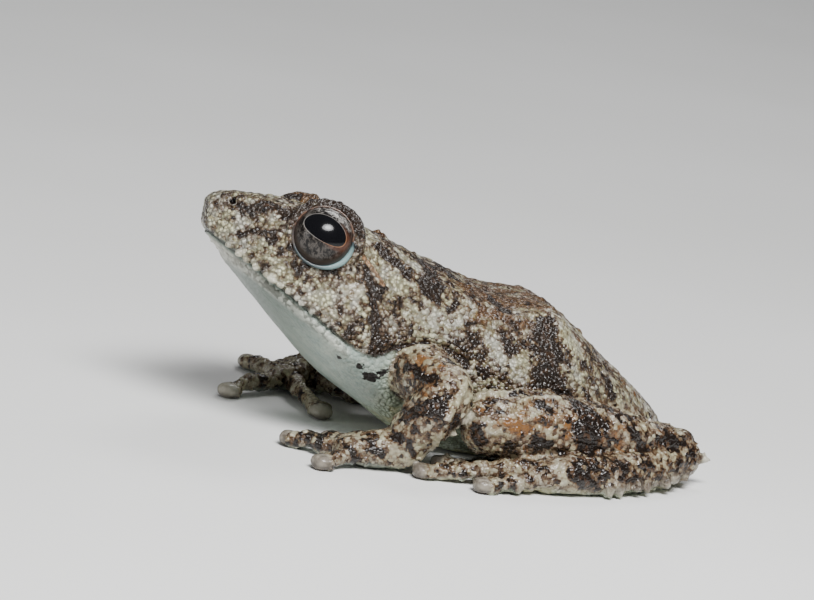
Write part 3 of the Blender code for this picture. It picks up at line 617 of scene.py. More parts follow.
# paths of the markings with width and strength, each made on both sides
markings = {
    # (station, s) places on the body
    "darkOnBody": [
        ([(-8.92, 1.22), (-8.48, 1.26)], 0.28, 1), ([(-7.94, 1.1), (-6.88, 1.12), (-6.35, 1.06)], 0.2, 1),
        ([(-9.69, 0.96), (-9.86, 1.19)], 0.2, 0.7),
        ([(-9.1, 1.79)], 0.15, 0.8), ([(-8.8, 1.67), (-8.62, 1.72)], 0.16, 0.9), ([(-8.36, 1.61)], 0.16, 0.9),
        ([(-8.21, 1.45)], 0.13, 0.8), ([(-7.88, 1.50), (-7.71, 1.54)], 0.17, 0.9),
        ([(-7.45, 1.43), (-7.26, 1.46)], 0.17, 0.9),
        ([(-8.18, 1.38)], 0.2, 0.6), ([(-7.76, 1.76)], 0.17, 0.8), ([(-7.29, 1.71), (-7.1, 1.64)], 0.18, 0.8),
        ([(-6.82, 1.55), (-6.47, 1.56)], 0.15, 0.7),
        ([(-6.73, 1.69)], 0.16, 0.9), ([(-6.3, 1.64), (-6.2, 1.73)], 0.18, 0.8), ([(-5.97, 1.62)], 0.15, 0.8),
        ([(-8.18, 1.98)], 0.15, 0.9), ([(-7.62, 2.05)], 0.18, 1.1), ([(-6.29, 2.01)], 0.14, 0.9),
        ([(-4.72, 1.53), (-4.37, 1.51)], 0.14, 0.7), ([(-5.37, 1.7)], 0.13, 0.7),
        ([(-4.13, 1.73), (-3.99, 1.79)], 0.18, 0.8), ([(-4.43, 2.04), (-3.93, 1.88)], 0.15, 0.8),
        ([(-3.51, 1.98)], 0.16, 0.8), ([(-5.08, 2.06)], 0.13, 0.8), ([(-5.23, 1.93)], 0.12, 0.7),
        ([(-3.45, 1.52)], 0.14, 0.4),
        ([(-3.16, 1.33), (-2.95, 1.45), (-2.63, 1.53), (-2.63, 1.66)], 0.24, 1.1),
        ([(-2.63, 1.66), (-2.54, 1.79), (-2.33, 1.99), (-2.04, 2.2)], 0.2, 1.2),
        ([(-2.01, 1.58)], 0.15, 0.5), ([(-2.54, 0.97), (-2.07, 1.07), (-1.48, 1.02)], 0.22, 0.9),
        ([(-1.48, 1.07), (-0.97, 1.13)], 0.25, 0.8),
        ([(0.21, 0.46), (0.12, 0.97), (0.18, 1.22)], 0.40, 1.1), ([(0.8, 1.32), (1.3, 1.18)], 0.2, 0.7),
        ([(1.71, -0.41), (1.24, 0.47)], 0.3, 0.8), ([(1.92, 1.34), (2.28, 1.48), (2.16, 1.62)], 0.35, 0.45),
        ([(1.33, 1.67), (2.57, 1.67)], 0.3, 0.4), ([(3.34, 0.64), (3.69, 0.84), (4.23, 0.84)], 0.25, 0.7),
        ([(3.55, 1.29), (3.96, 1.45)], 0.3, 0.4), ([(5.97, 0.94), (6.06, 1.15)], 0.4, 1.1),
        ([(5.85, 1.23), (6.23, 1.45), (5.76, 1.68)], 0.54, 1.1), ([(6.41, 1.72), (7.12, 1.8)], 0.3, 1),
        ([(8.27, 0.99), (7.83, 1.33)], 0.16, 0.7), ([(9.66, 1.27), (9.87, 1.46)], 0.26, 1),
        ([(7, 0.88)], 0.12, 0.7), ([(2.36, 1.81), (3.1, 1.79)], 0.2, 0.6),
        ([(-2.04, 2.1), (-1.7, 2.0)], 0.13, 0.5), ([(-0.62, 1.4), (-0.12, 1.47)], 0.2, 0.5),
        ([(-1.33, 1.49), (-1.09, 1.74)], 0.16, 0.6),
    ],
    "rustOnBody": [
        ([(1.6, 0.6), (5.0, 0.5), (7.0, 0.3)], 1.3, 0.65), ([(2.4, 1.1), (4.6, 1.05)], 0.7, 0.6),
        ([(8.5, 0.5), (11.0, 0.6)], 0.9, 0.4),
        ([(2.69, 0.26), (3.99, 0.04)], 0.25, 0.8),
        ([(4.49, 0.05), (6.09, 0), (7.21, -0.18), (7.27, 0.42)], 0.3, 1.1),
        ([(3.84, 1.07), (4.61, 1.13)], 0.25, 1), ([(3.55, 1.22), (4.05, 1.39)], 0.2, 0.8),
        ([(1.01, 0.92), (1.54, 0.7)], 0.15, 0.7), ([(4.82, 1.34)], 0.2, 0.7),
        ([(7.77, 0.82), (8.27, 0.99)], 0.2, 0.8), ([(9.34, 0.25), (10.25, 0.2)], 0.2, 0.8),
        ([(10.99, 0.81), (11.7, 0.8)], 0.2, 0.8), ([(-9.33, -0.5), (-8.65, -0.18)], 0.15, 0.7),
        ([(-7.94, 1.03)], 0.12, 0.8), ([(7.83, 1.42)], 0.15, 0.6),
        ([(-1.77, 0.17)], 0.25, 1.2),
    ],
    "fold": [
        ([(-6.42, -3.66, 10.05), (-6.28, -3.72, 9.65), (-6.0, -3.60, 9.25), (-5.68, -3.50, 8.84)], 0.14, 1.0),
        ([(-3.25, 1.22), (-2.86, 1.31), (-2.6, 1.35), (-2.39, 1.39), (-2.18, 1.44)], 0.14, 1.0),
    ],
    # painted shade: a dark line along the hollow in the flank
    "crease": [
        ([(-2.2, 2.3), (-1.12, 2.03), (-0.26, 1.87), (0.65, 1.80), (1.36, 1.77), (2.0, 1.84)], 0.13, 1.0),
    ],
    "paleOnBody": [
        ([(-10.02, 0.4), (-10.0, 1.2), (-9.98, 2.0)], 0.30, 1.1), ([(-9.5, 1.9), (-8.9, 1.95)], 0.2, 0.8),
        ([(7.59, 1.08), (7.24, 1.47), (8.45, 1.56)], 0.36, 1), ([(4.76, 1.46), (4.61, 1.71)], 0.3, 0.9),
        ([(0.86, 0.77), (1.06, 1.09)], 0.2, 0.9), ([(-0.68, 0.79)], 0.15, 0.8),
        ([(-4.04, 1.59), (-3.63, 1.69)], 0.24, 0.9), ([(-6.05, 1.74), (-5.05, 1.54)], 0.22, 0.9),
        ([(-1.95, 1.71), (-1.56, 1.87)], 0.2, 0.8), ([(-8.18, 1.7), (-7.29, 1.54)], 0.16, 0.7),
        ([(-8.65, 1.46), (-9.07, 1.59)], 0.16, 0.6), ([(0.12, 1.54), (1.06, 1.51)], 0.25, 0.6),
        ([(-2.07, 1.23), (-1.71, 1.36)], 0.15, 0.6),
        ([(-9.3, 1.75), (-8.0, 1.72), (-6.6, 1.80), (-5.2, 1.80), (-4.0, 1.78)], 0.75, 0.55),
        ([(-2.2, 1.30), (-1.0, 1.35), (0.2, 1.62)], 0.55, 0.7),
        ([(-1.2, 0.72), (-0.6, 0.95), (-0.5, 1.2)], 0.3, 0.9),
        ([(0.9, 1.5), (2.6, 1.3), (4.2, 1.62)], 0.6, 0.5),
    ],
    # packed x, y, z places on the left limbs
    "darkOnLimbs": [
        ([(4.9, -9.0, 1.3), (7.6, -8.4, 1.3), (10.4, -6.6, 1.3)], 0.9, 0.30),
        ([(-3.37, -5.67, 4.63), (-3.14, -6.33, 4.49), (-2.79, -7.15, 4.46), (-2.42, -7.48, 4.58)], 0.22, 1),
        ([(-1.95, -6.03, 5.2), (-1.69, -6.72, 5.07)], 0.15, 0.8),
        ([(-3.71, -7.65, 2.73), (-3.13, -8.27, 3.1), (-2.52, -8.51, 3.42)], 0.36, 1.2),
        ([(-4.25, -7.49, 1.58), (-3.9, -7.97, 1.6)], 0.2, 0.9),
        ([(-5.52, -7.5, 1.33), (-5.23, -7.84, 1.06), (-4.59, -7.96, 0.82)], 0.18, 0.9),
        ([(-3.55, -8.21, 1.7), (-3.26, -8.16, 1.23)], 0.2, 0.9),
        ([(-2.03, -8.04, 4.19), (-1.81, -7.97, 4.44)], 0.14, 0.7),
        ([(-7.48, -5.18, 0.83), (-7.36, -5.5, 0.75)], 0.14, 0.8), ([(-6.85, -5.89, 0.85)], 0.12, 0.7),
        ([(-6.44, -7.1, 1.13)], 0.12, 0.7),
        ([(-0.42, -8.35, 2.26), (-0.06, -8.4, 2.07), (-0.4, -8.42, 2.62)], 0.24, 1.1),
        ([(-1.17, -8.06, 2.59)], 0.14, 0.8), ([(1.44, -6.84, 3.84), (2.3, -6.34, 3.83)], 0.2, 0.8),
        ([(4.5, -7.04, 3.93), (4.84, -7.62, 3.73), (5.38, -7.87, 3.32)], 0.40, 1.1),
        ([(4.57, -8.28, 2.92), (5.09, -8.24, 2.33), (5.07, -8.02, 1.73)], 0.42, 1.1),
        ([(2.48, -7.93, 3.85), (2.9, -8.13, 3.65)], 0.2, 0.8),
        ([(2.29, -8.61, 2.33), (3.02, -8.5, 2.07)], 0.2, 0.8),
        ([(7.11, -7.01, 3.38), (7.67, -6.99, 3.08)], 0.22, 0.9),
        ([(7.44, -7.33, 2.91), (7.97, -7.28, 2.3), (8.39, -7.06, 1.83)], 0.26, 1),
        ([(5.97, -7.88, 3.08)], 0.14, 0.7), ([(9.8, -6.46, 2.13), (10.45, -6.2, 1.87)], 0.17, 0.8),
        ([(9.16, -6.65, 2.52)], 0.15, 0.7), ([(9.3, -6.5, 2.4), (10.9, -5.9, 1.9)], 0.55, 0.65),
        ([(4.29, -9.31, 1.21), (4.73, -9.55, 0.83)], 0.42, 1.2),
        ([(5.77, -8.59, 1.51), (6.25, -7.68, 1.63)], 0.14, 0.7), ([(1.5, -9.58, 0.9)], 0.14, 0.7),
        ([(1.96, -9.76, 0.75)], 0.13, 0.7), ([(0.72, -9.8, 0.75), (0.44, -10.12, 0.44)], 0.17, 0.8),
        ([(-2.02, -8.64, 0.56), (-1.7, -8.67, 0.65)], 0.14, 0.8),
        ([(-0.23, -7.38, 0.64), (0.14, -7.41, 0.73)], 0.14, 0.8),
    ],
    "rustOnLimbs": [
        ([(1.0, -8.4, 3.0), (4.0, -8.0, 3.2), (6.5, -7.6, 2.5)], 0.9, 0.4),
        ([(-3.0, -6.2, 4.8), (-2.5, -7.6, 4.4)], 0.7, 0.4),
        ([(-3.12, -5.49, 4.94), (-2.61, -6.17, 5.08)], 0.2, 0.8),
        ([(-2.05, -6.8, 5.06), (-1.95, -7.38, 4.89)], 0.2, 0.7),
        ([(-3.06, -6.82, 3.76), (-3.03, -7.85, 3.81)], 0.2, 0.9),
        ([(0.85, -8.5, 3.14), (1.47, -8.63, 2.75), (1.95, -8.62, 2.88)], 0.28, 1.1),
        ([(2.68, -8.53, 3.07), (2.93, -8.28, 3.5)], 0.2, 0.9),
        ([(3.6, -8.25, 3.41), (3.86, -8.37, 3.13)], 0.18, 1),
        ([(4.94, -7.98, 3.36), (5.31, -8.08, 3.03)], 0.22, 0.9),
        ([(6.48, -7.86, 2.49), (6.87, -7.68, 2.08)], 0.2, 0.9),
        ([(1.88, -8.54, 2.03), (2.19, -8.25, 1.64)], 0.13, 0.7),
        ([(-0.48, -7.88, 3.42), (-0.24, -8.12, 3.32)], 0.14, 0.6), ([(3.26, -8.43, 1.93)], 0.15, 0.8),
        ([(2.53, -7.75, 3.9), (3.58, -7.58, 3.9)], 0.15, 0.6),
        ([(8.58, -6.69, 2.83), (9.66, -6.47, 2.37)], 0.15, 0.6),
    ],
    # how high the pale side reaches behind the mouth: x and z
    "paleEdge": [(-6.1, 4.35), (-5.45, 4.10), (-4.8, 3.90), (-4.3, 4.0), (-3.85, 4.35), (-3.3, 4.4),
                 (-2.6, 3.9), (-1.8, 2.95), (-0.6, 2.1), (1.0, 1.5), (3.0, 1.0), (12.0, 0.8)],
    # black spots of the throat
    "spots": [
        ([(-7.44, 0.79, 3.8)], 0.24, 1), ([(-6.41, -4.32, 4.55), (-6.39, -4.32, 4.40)], 0.15, 1.2),
        ([(-5.32, -4.47, 4.22), (-5.25, -4.47, 4.04)], 0.22, 1.2), ([(-3.60, -4.60, 4.35)], 0.2, 1.2),
        ([(-4.80, -4.39, 3.58), (-4.45, -4.51, 3.75)], 0.30, 1.2),
        ([(-4.40, -4.5, 3.85), (-4.14, -4.58, 4.05)], 0.22, 1.2),
        ([(-3.88, -4.60, 4.28), (-3.75, -4.6, 4.5)], 0.16, 1.2),
    ],
}


def markField(points, paths):
    # strength on a path, falling off as exp(-1.2 (distance / width)^2); overlapping marks keep the stronger
    field = np.zeros(len(points))
    for path, width, strength in paths:
        path = np.array(path, float)
        low, high = path.min(0) - width * 2, path.max(0) + width * 2
        near = np.where(((points > low) & (points < high)).all(1))[0]
        if len(near):
            if len(path) > 1:
                far, _ = toPath(points[near], path)
            else:
                far = np.linalg.norm(points[near] - path[0], axis=1)
            field[near] = np.maximum(field[near], strength * np.exp(-(far / width) ** 2 * 1.2))
    return field


def bothSides(rows):
    # each mark for the left side and its like on the right
    made = []
    for path, width, strength in rows:
        if len(path[0]) == 2:
            made += [(onSkin(path, side), width, strength) for side in (-1, 1)]
        else:
            made.append((path, width, strength))
            made.append(([(x, -y + 2 * shift[1], z) for x, y, z in path], width, strength))
    return made


# the mouth's plane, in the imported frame
mouthFront = leanHead(np.array([(-10.3, -1.0, 8.86), (-10.3, 1.0, 8.86)])) + shift
mouthCorner = leanHead(np.array([-3.7, 0.0, 4.45])) + shift
mouthUp = unit(np.cross(mouthFront[1] - mouthFront[0], mouthCorner - mouthFront[0]))
mouthUp = mouthUp * np.sign(mouthUp[2])
mouthLevel = float(mouthUp @ mouthFront[0])
mouthEnd = float(mouthCorner[0])


# ridges and hollows: paths like those above, width and height, a hollow's being less than 0
sculpture = {
    "ridges": [
        ([(-3.3, 1.20), (-2.86, 1.31), (-2.6, 1.35), (-2.39, 1.39), (-2.18, 1.44), (-2.2, 1.52)], 0.13, 0.22),
        ([(-3.05, 1.42), (-2.7, 1.52), (-2.4, 1.66)], 0.20, -0.07),
        ([(-2.07, 2.26), (-1.12, 2.01), (-0.26, 1.85), (0.65, 1.78), (1.36, 1.75), (1.95, 1.8)], 0.13, -0.16),
        ([(-4.07, 1.47), (-4.16, 1.6), (-3.87, 1.68), (-3.42, 1.68), (-3.1, 1.59)], 0.1, 0.05),
        ([(-9.3, 1.0), (-8.2, 1.02), (-7.0, 0.95)], 0.30, 0.10),
        ([(-8.8, 1.45), (-7.8, 1.42), (-6.9, 1.4)], 0.45, -0.10),
        ([(-1.0, 0.95), (1.5, 1.0), (4.5, 0.98)], 0.35, 0.06),
        ([(6.6, 0.55), (7.0, 0.9)], 0.7, 0.10),
        ([(-6.2, 0.0), (-4.6, 0.0)], 0.9, -0.10),
        ([(1.6, 2.5), (4.2, 2.3)], 0.30, 0.06),
        ([(-9.21, 1.1)], 0.36, 0.07), ([(-9.26, 1.03), (-9.18, 1.17)], 0.14, -0.30),
        ([(-7.86, 1.15)], 0.26, 0.06), ([(-7.86, 1.15)], 0.12, -0.14),
        ([(-1.72, 0.2)], 0.24, 0.20),
    ],
    "limbRidges": [
        ([(-2.32, -8.5, 2.28), (-2.36, -7.84, 1.36), (-2.85, -7.76, 0.91), (-3.43, -7.91, 0.66)], 0.14, 0.18),
        ([(-1.25, -7.8, 4.75), (-1.51, -8.07, 4.25), (-1.81, -8.46, 3.61), (-2.12, -8.6, 2.95)], 0.14, 0.18),
        ([(-3.46, -4.58, 4.96), (-3, -4.89, 5.23), (-2.29, -4.93, 5.36), (-1.4, -4.54, 5.14)], 0.13, 0.13),
        ([(-0.42, -7.14, 3.51), (0.75, -7.15, 3.86), (2.01, -6.29, 3.89)], 0.13, 0.20),
        ([(1.53, -7.83, 3.83), (2.86, -7.44, 3.99), (3.64, -7.38, 3.95)], 0.12, 0.15),
        ([(2.2, -8.4, 1.35), (2.9, -8.3, 1.35), (3.51, -7.95, 1.42)], 0.1, 0.07),
    ],
}

# where each point of the skin lies: on which limb, disc, lid or pale side
points = coords(skinMesh)
facing = normals(skinMesh)
wobble = np.stack([softNoise(points, 0.7, 11 + k) for k in range(3)], 1) * 0.22
onLimb, limbShare, limbIndex = limbFields(points)
for tip, radius, _ in coneTips:
    onLimb[np.linalg.norm(points - tip, axis=1) < radius * 2.2] = 1.0      # a cone is part of its limb
trackName = np.array([name for name, _, _, _ in tracks] + ["none"])[limbIndex]
isPad = np.array([withPad for _, _, withPad, _ in tracks] + [False])[limbIndex]
onRight = np.array([side > 0 for _, _, _, side in tracks] + [False])[limbIndex]
rightArm = onRight & np.isin(trackName, ("finger", "upperArmRight", "forearmRight", "palmRight"))
joined = np.isin(trackName, ("upperArmLeft", "upperArmRight", "thigh"))
limby = 1 - smooth(onLimb, np.where(joined, 1.04, 1.25), np.where(joined, 1.22, 1.75))
digit = isPad * limby
padMask = digit * smooth(limbShare, 0.74, 0.80)
print("limb fields done")

mouthGap = points @ mouthUp - mouthLevel
aheadOfCorner = 1 - smooth(points[:, 0], mouthEnd - 0.4, mouthEnd + 0.5)
# heights are measured as before the head leans, and the pale side ends at markings["paleEdge"]
leaned = np.clip((body["leanFrom"] - points[:, 0] + shift[0]) / (body["leanFrom"] - body["leanFull"]), 0, 1)
slope = math.tan(math.radians(body["lean"]))
unleaned = points[:, 2] + (points[:, 1] - shift[1]) * leaned**2 * (3 - 2 * leaned) * slope
paleEdge = np.interp(points[:, 0], *np.array(markings["paleEdge"]).T)
underside = 1 - smooth(unleaned - paleEdge + wobble[:, 0] * 0.5, -0.10, 0.12)
belowMouth = 1 - smooth(mouthGap + wobble[:, 0] * 0.1, -0.06, 0.0)
behind = smooth(points[:, 0], mouthEnd - 0.6, mouthEnd + 0.3)
bodyPale = belowMouth * (1 - behind) + underside * behind
facesDown = 1 - smooth(facing[:, 2] + 0.25 * wobble[:, 1], -0.85, -0.45)
pale = bodyPale * (1 - limby) + limby * facesDown * (1 - smooth(points[:, 2], 0.15, 0.5)) * 0.7
pale = np.clip(pale * (1 - padMask), 0, 1)
print("pale side done")

# the markings, their edges made uneven by the wobble
dark = markField(points + wobble, bothSides(markings["darkOnBody"] + markings["darkOnLimbs"]))
bands = 0.5 + 0.5 * np.sin(limbShare * 2 * np.pi * 3.2 + limbIndex * 1.7) + 0.35 * softNoise(points, 0.5, 71)
dark = np.maximum(dark, digit * (1 - padMask) * smooth(bands, 0.85, 1.05) * 0.4) * (1 - 0.6 * pale)
rust = markField(points + wobble, bothSides(markings["rustOnBody"] + markings["rustOnLimbs"])) * (1 - pale)
spots = markField(points + wobble * 0.4, bothSides(markings["spots"]))
light = markField(points + wobble, bothSides(markings["paleOnBody"]))
# the far arm made paler: partly its own paler pattern, partly painted light against the shade it lies in
light = np.maximum(light, rightArm * limby * 0.5)
limbRidges = []
for path, width, height in bothSides(sculpture["limbRidges"]):
    # a curve through the path, each of its places moved to the nearest point of the skin
    dense = curveThrough(np.linspace(0, len(path) - 1, len(path) * 4), np.arange(len(path)), path)
    nearest = [np.linalg.norm(points - place, axis=1).argmin() for place in dense]
    limbRidges.append((points[nearest], width, height))
light = np.maximum(light, markField(points + wobble * 0.2, [(path, 0.15, 1.5) for path, _, _ in limbRidges]))
fold = markField(points + wobble * 0.15, bothSides(markings["fold"]))
# the crease adds painted shade along the flank's hollow to the dark marks
dark = np.maximum(dark, markField(points + wobble * 0.2, bothSides(markings["crease"]))) * (1 - fold)
lidness = np.zeros(len(points))
for side in (-1, 1):
    seat = eyeAxes(side)[0]
    way = unit(points - seat)
    overEye = 1 - smooth(np.linalg.norm(points - seat, axis=1), 1.95, 2.15)
    lidness = np.maximum(lidness, overEye * smooth(way[:, 2], 0.15, 0.5) * (1.0 if side < 0 else 0.12))
    if side > 0:       # the right lid's rear half is rust with a dark spot ahead of it
        rear = smooth(way[:, 0] + wobble[:, 0], -0.42, -0.12)
        rust = np.maximum(rust, overEye * smooth(way[:, 2], 0.45, 0.75) * rear * 1.2)
        fromSpot = np.linalg.norm(way - (-0.22, -0.25, 0.94), axis=1)
        dark = np.maximum(dark, overEye * 1.1 * np.exp(-(fromSpot / 0.17) ** 2))
print("markings done")


# relief in the mesh itself: ridges and hollows, then warts, granules, wrinkles and the mouth
relief = np.zeros(len(points))
for path, width, height in bothSides(sculpture["ridges"]) + limbRidges:
    path = np.vstack([path, np.array(path[-1]) + 1e-4])
    near = np.where(np.linalg.norm(points - path.mean(0), axis=1) < 5)[0]
    far, _ = toPath(points[near], path)
    relief[near] += height * np.exp(-(far / width) ** 2)

# lip beads in a row above the mouth, warts round the lids and warts scattered over the back
rng = np.random.default_rng(warts["seed"])
wartPlaces, wartSizes = [], []
for side in (-1, 1):
    order = np.arange(warts["lipBeads"])
    x = np.linspace(*warts["lipBeadsFromTo"], warts["lipBeads"]) + 0.06 * np.sin(order * 3.7)
    s = np.linspace(1.5, 2.7, 60)
    band = bodySurface(x[:, None], s if side < 0 else 8 - s) + shift
    chosen = np.abs(band @ mouthUp - mouthLevel - 0.09 - 0.06 * np.sin(order * 2.9)[:, None]).argmin(1)
    wartPlaces.append(band[order, chosen])
    grow = 0.5 + 0.32 * np.sin(order * 2.4 + 0.4) + 0.28 * np.sin(order * 5.3)
    taper = np.interp(x, [-9.7, -9.0, -7.2, -5.6, -4.3], [0.60, 1.0, 1.0, 0.66, 0.45])
    wartSizes.append(np.stack([0.14 + 0.10 * grow, 0.14 + 0.14 * grow], 1) * taper[:, None])
    seat, look, front, over = lidAxes(side)
    turn, polar = np.radians(warts["lidWarts"]).T
    spoke = np.cos(turn)[:, None] * front + np.sin(turn)[:, None] * over
    ray = np.cos(polar)[:, None] * look + np.sin(polar)[:, None] * spoke
    wartPlaces.append(seat + ray * 1.80)
    wartSizes.append(np.tile(warts["lidWartSize"], (len(turn), 1)))
count = warts["backWarts"]
x = rng.uniform(-7.0, 12.5, count)
s = rng.uniform(0.0, 2.1, count) * np.where(rng.random(count) < 0.5, 1, -1) % 8
wartPlaces.append(bodySurface(x, s) + shift)
wartSizes.append(np.stack([rng.uniform(0.14, 0.34, count), rng.uniform(0.04, 0.12, count)], 1))
wartPlaces, wartSizes = np.vstack(wartPlaces), np.vstack(wartSizes)
beads = np.zeros(len(points))        # how much a place belongs to a pale bead or a cone's tip
lipSink = skin["beadDrop"] * aheadOfCorner * (1 - limby) * smooth(points[:, 0], -12.2, -10.8)
for tip, radius, tipPale in coneTips:
    near = np.where((np.abs(points - tip) < 0.6).all(1))[0]
    far = np.linalg.norm(points[near] - tip, axis=1)
    beads[near] = np.maximum(beads[near], tipPale * (1 - smooth(far, 0.10, radius * 1.5)))
perSide = warts["lipBeads"] + len(warts["lidWarts"])
for i, (place, (radius, height)) in enumerate(zip(wartPlaces, wartSizes)):
    near = np.where((np.abs(points - place) < radius * 1.4).all(1))[0]
    far = np.linalg.norm(points[near] - place, axis=1) / (radius * 1.25)
    dome = np.clip(1 - far**2, 0, 1) ** 1.2
    relief[near] += height * dome * 1.1
    if i < 2 * perSide and i % perSide < warts["lipBeads"]:
        beads[near] = np.maximum(beads[near], dome * (0.66 + 0.34 * math.sin(i * 4.1)))
print("warts done")

# the ear drum, smooth with a low rim
drum = np.zeros(len(points))
for side in (-1, 1):
    seat, rim = onSkin([(-3.55, 1.56), (-3.55, 1.82)], side)
    drum = np.maximum(drum, 1 - smooth(np.linalg.norm(points - seat, axis=1), 0.38, 0.55))
relief += 0.06 * np.exp(-((drum - 0.5) / 0.35) ** 2) * (drum > 0.01)
# granules, height (1 - distance from the middle of the cell), where nothing makes the skin even
smoothThroat = pale * (1 - smooth(points[:, 0], -4.6, -3.4))
even = np.maximum.reduce([beads * 0.9, 0.66 * limby, drum * 0.75, padMask, smoothThroat])
coarseSize, coarseHeight, coarseFall = skin["coarse"]
fineSize, fineHeight, fineFall = skin["fine"]
coarse, coarseOwn = grains(points, coarseSize, 3)
fine, _ = grains(points, fineSize, 9)
granules = (coarseHeight * np.clip(1 - coarse * coarseFall, 0, 1) * (0.4 + coarseOwn)
            + fineHeight * np.clip(1 - fine * fineFall, 0, 1))
relief += (1 - pale) * (1 - padMask) * (1 - even) * granules
relief += skin["swell"][1] * softNoise(points, skin["swell"][0], 21) * (1 - padMask)

# two layers of wrinkles on the limbs, each high where its noise passes 0
creases = 1 - np.abs(softNoise(points * (1.0, 1.0, 1.6), 0.62, 33))
relief += 0.11 * limby * (1 - padMask) * np.clip(creases, 0, 1) ** 5
creases = 1 - np.abs(softNoise(points * (1.5, 1.0, 1.2), 0.40, 57))
relief += 0.06 * limby * (1 - padMask) * (np.clip(creases, 0, 1) ** 4 - 0.4)


def alongMouth(row):
    # height exp(-(distance from the row's own plane / width)^2)
    height, middle, width = row
    return height * np.exp(-((mouthGap - middle) / width) ** 2)


# a groove along the mouth between two low ridges, the lower one fuller at the front
chin = 1 - smooth(points[:, 0], -11.8, -9.6)
lipHeight, lipMiddle, lipWidth = skin["lowerLip"]
lowerRidge = alongMouth((lipHeight + skin["chinMore"] * chin, lipMiddle, lipWidth))
broken = 1 - 0.6 * np.clip(coarse, 0, 1)
lips = alongMouth(skin["mouthAbove"]) - alongMouth(skin["mouthLine"]) + lowerRidge * broken
relief += aheadOfCorner * (1 - limby) * lips
points = points + facing * relief[:, None] - mouthUp * (lipSink * beads)[:, None]
points[:, 2] = np.maximum(points[:, 2], 0.0)
setCoords(skinMesh, points)
print("relief done")


def paint(mesh, name, values):
    field = mesh.attributes.new(name, "FLOAT", "POINT")
    field.data.foreach_set("value", values.astype(np.float32))


# the fields that the material reads
belly = smooth(coords(skinMesh)[:, 0], -4.6, -3.4)
skinFields = {"pale": pale, "dark": dark, "rust": rust, "spots": spots, "pads": padMask, "lid": lidness,
              "beads": beads, "limb": limby, "belly": belly, "light": light, "even": even, "fold": fold,
              "drum": drum}
for name, values in skinFields.items():
    paint(skinMesh, name, values)


def triangleCount(mesh):
    return sum(len(face.vertices) - 2 for face in mesh.polygons)


# fewer faces where the skin is flat, once the relief is in
full = triangleCount(skinMesh)
thinner = frogSkin.modifiers.new("fewerFaces", "DECIMATE")
thinner.ratio = min(1.0, skin["triangles"] / full)
depsgraph = bpy.context.evaluated_depsgraph_get()
slim = bpy.data.meshes.new_from_object(frogSkin.evaluated_get(depsgraph), preserve_all_data_layers=True,
                                       depsgraph=depsgraph)
frogSkin.modifiers.clear()
frogSkin.data = slim
bpy.data.meshes.remove(skinMesh)
slim.name = "skin"
slim.shade_smooth()
print("skin triangles:", full, "to", triangleCount(slim))


def eyeBall(side):
    # a sphere about the way the eye looks, its rings even in angle
    seat, look, along, across = eyeAxes(side)
    polar = np.radians(np.linspace(1.5, 178.5, eye["rings"]))[:, None]
    turn = np.linspace(0, 2 * np.pi, eye["spokes"], endpoint=False)[None, :]
    ray = (np.cos(polar)[..., None] * look + np.sin(polar)[..., None]
           * (np.cos(turn)[..., None] * along + np.sin(turn)[..., None] * across))
    shape = closedGrid(seat + ray * eye["radius"], seat + look * eye["radius"], seat - look * eye["radius"])
    mesh = meshFrom("eyeball", [shape])
    outwards(mesh)
    direction = (shape[0] - seat) / eye["radius"]
    paint(mesh, "irisAlong", direction @ along)
    paint(mesh, "irisAcross", direction @ across)
    paint(mesh, "irisFront", direction @ look)
    return showMesh("eyeball_left" if side < 0 else "eyeball_right", mesh)


def lidMargin(side):
    # a ring round the eye whose thickness swells below, where the pale lower lid lies
    seat, look, front, over = lidAxes(side)
    count, sides = eye["marginPoints"]
    turn = np.linspace(0, 2 * np.pi, count, endpoint=False)
    lower = aroundLid("lower", turn)
    thick = eye["marginThick"][0] + eye["marginThick"][1] * lower
    ringRadius = eye["marginReach"] + thick * 0.75
    depth = eye["marginDepth"][0] + eye["marginDepth"][1] * lower
    spoke = np.cos(turn)[:, None] * front + np.sin(turn)[:, None] * over
    middle = seat + look * depth[:, None] + spoke * ringRadius[:, None]
    around = np.linspace(0, 2 * np.pi, sides, endpoint=False)
    grid = (middle[:, None] + np.cos(around)[None, :, None] * spoke[:, None] * thick[:, None, None]
            + np.sin(around)[None, :, None] * look * thick[:, None, None] * 1.15)
    index = np.arange(count * sides).reshape(count, sides)
    nextRing = np.roll(index, -1, 0)
    quads = np.stack([index, np.roll(index, -1, 1), np.roll(nextRing, -1, 1), nextRing], 2).reshape(-1, 4)
    mesh = meshFrom("lidMargin", [(grid.reshape(-1, 3), quads, np.zeros((0, 3), int))])
    outwards(mesh)
    paint(mesh, "lower", np.repeat(lower, sides))
    return showMesh("lid_margin_left" if side < 0 else "lid_margin_right", mesh)


eyeballs = [eyeBall(side) for side in (-1, 1)]
margins = [lidMargin(side) for side in (-1, 1)]
print("eyes done")


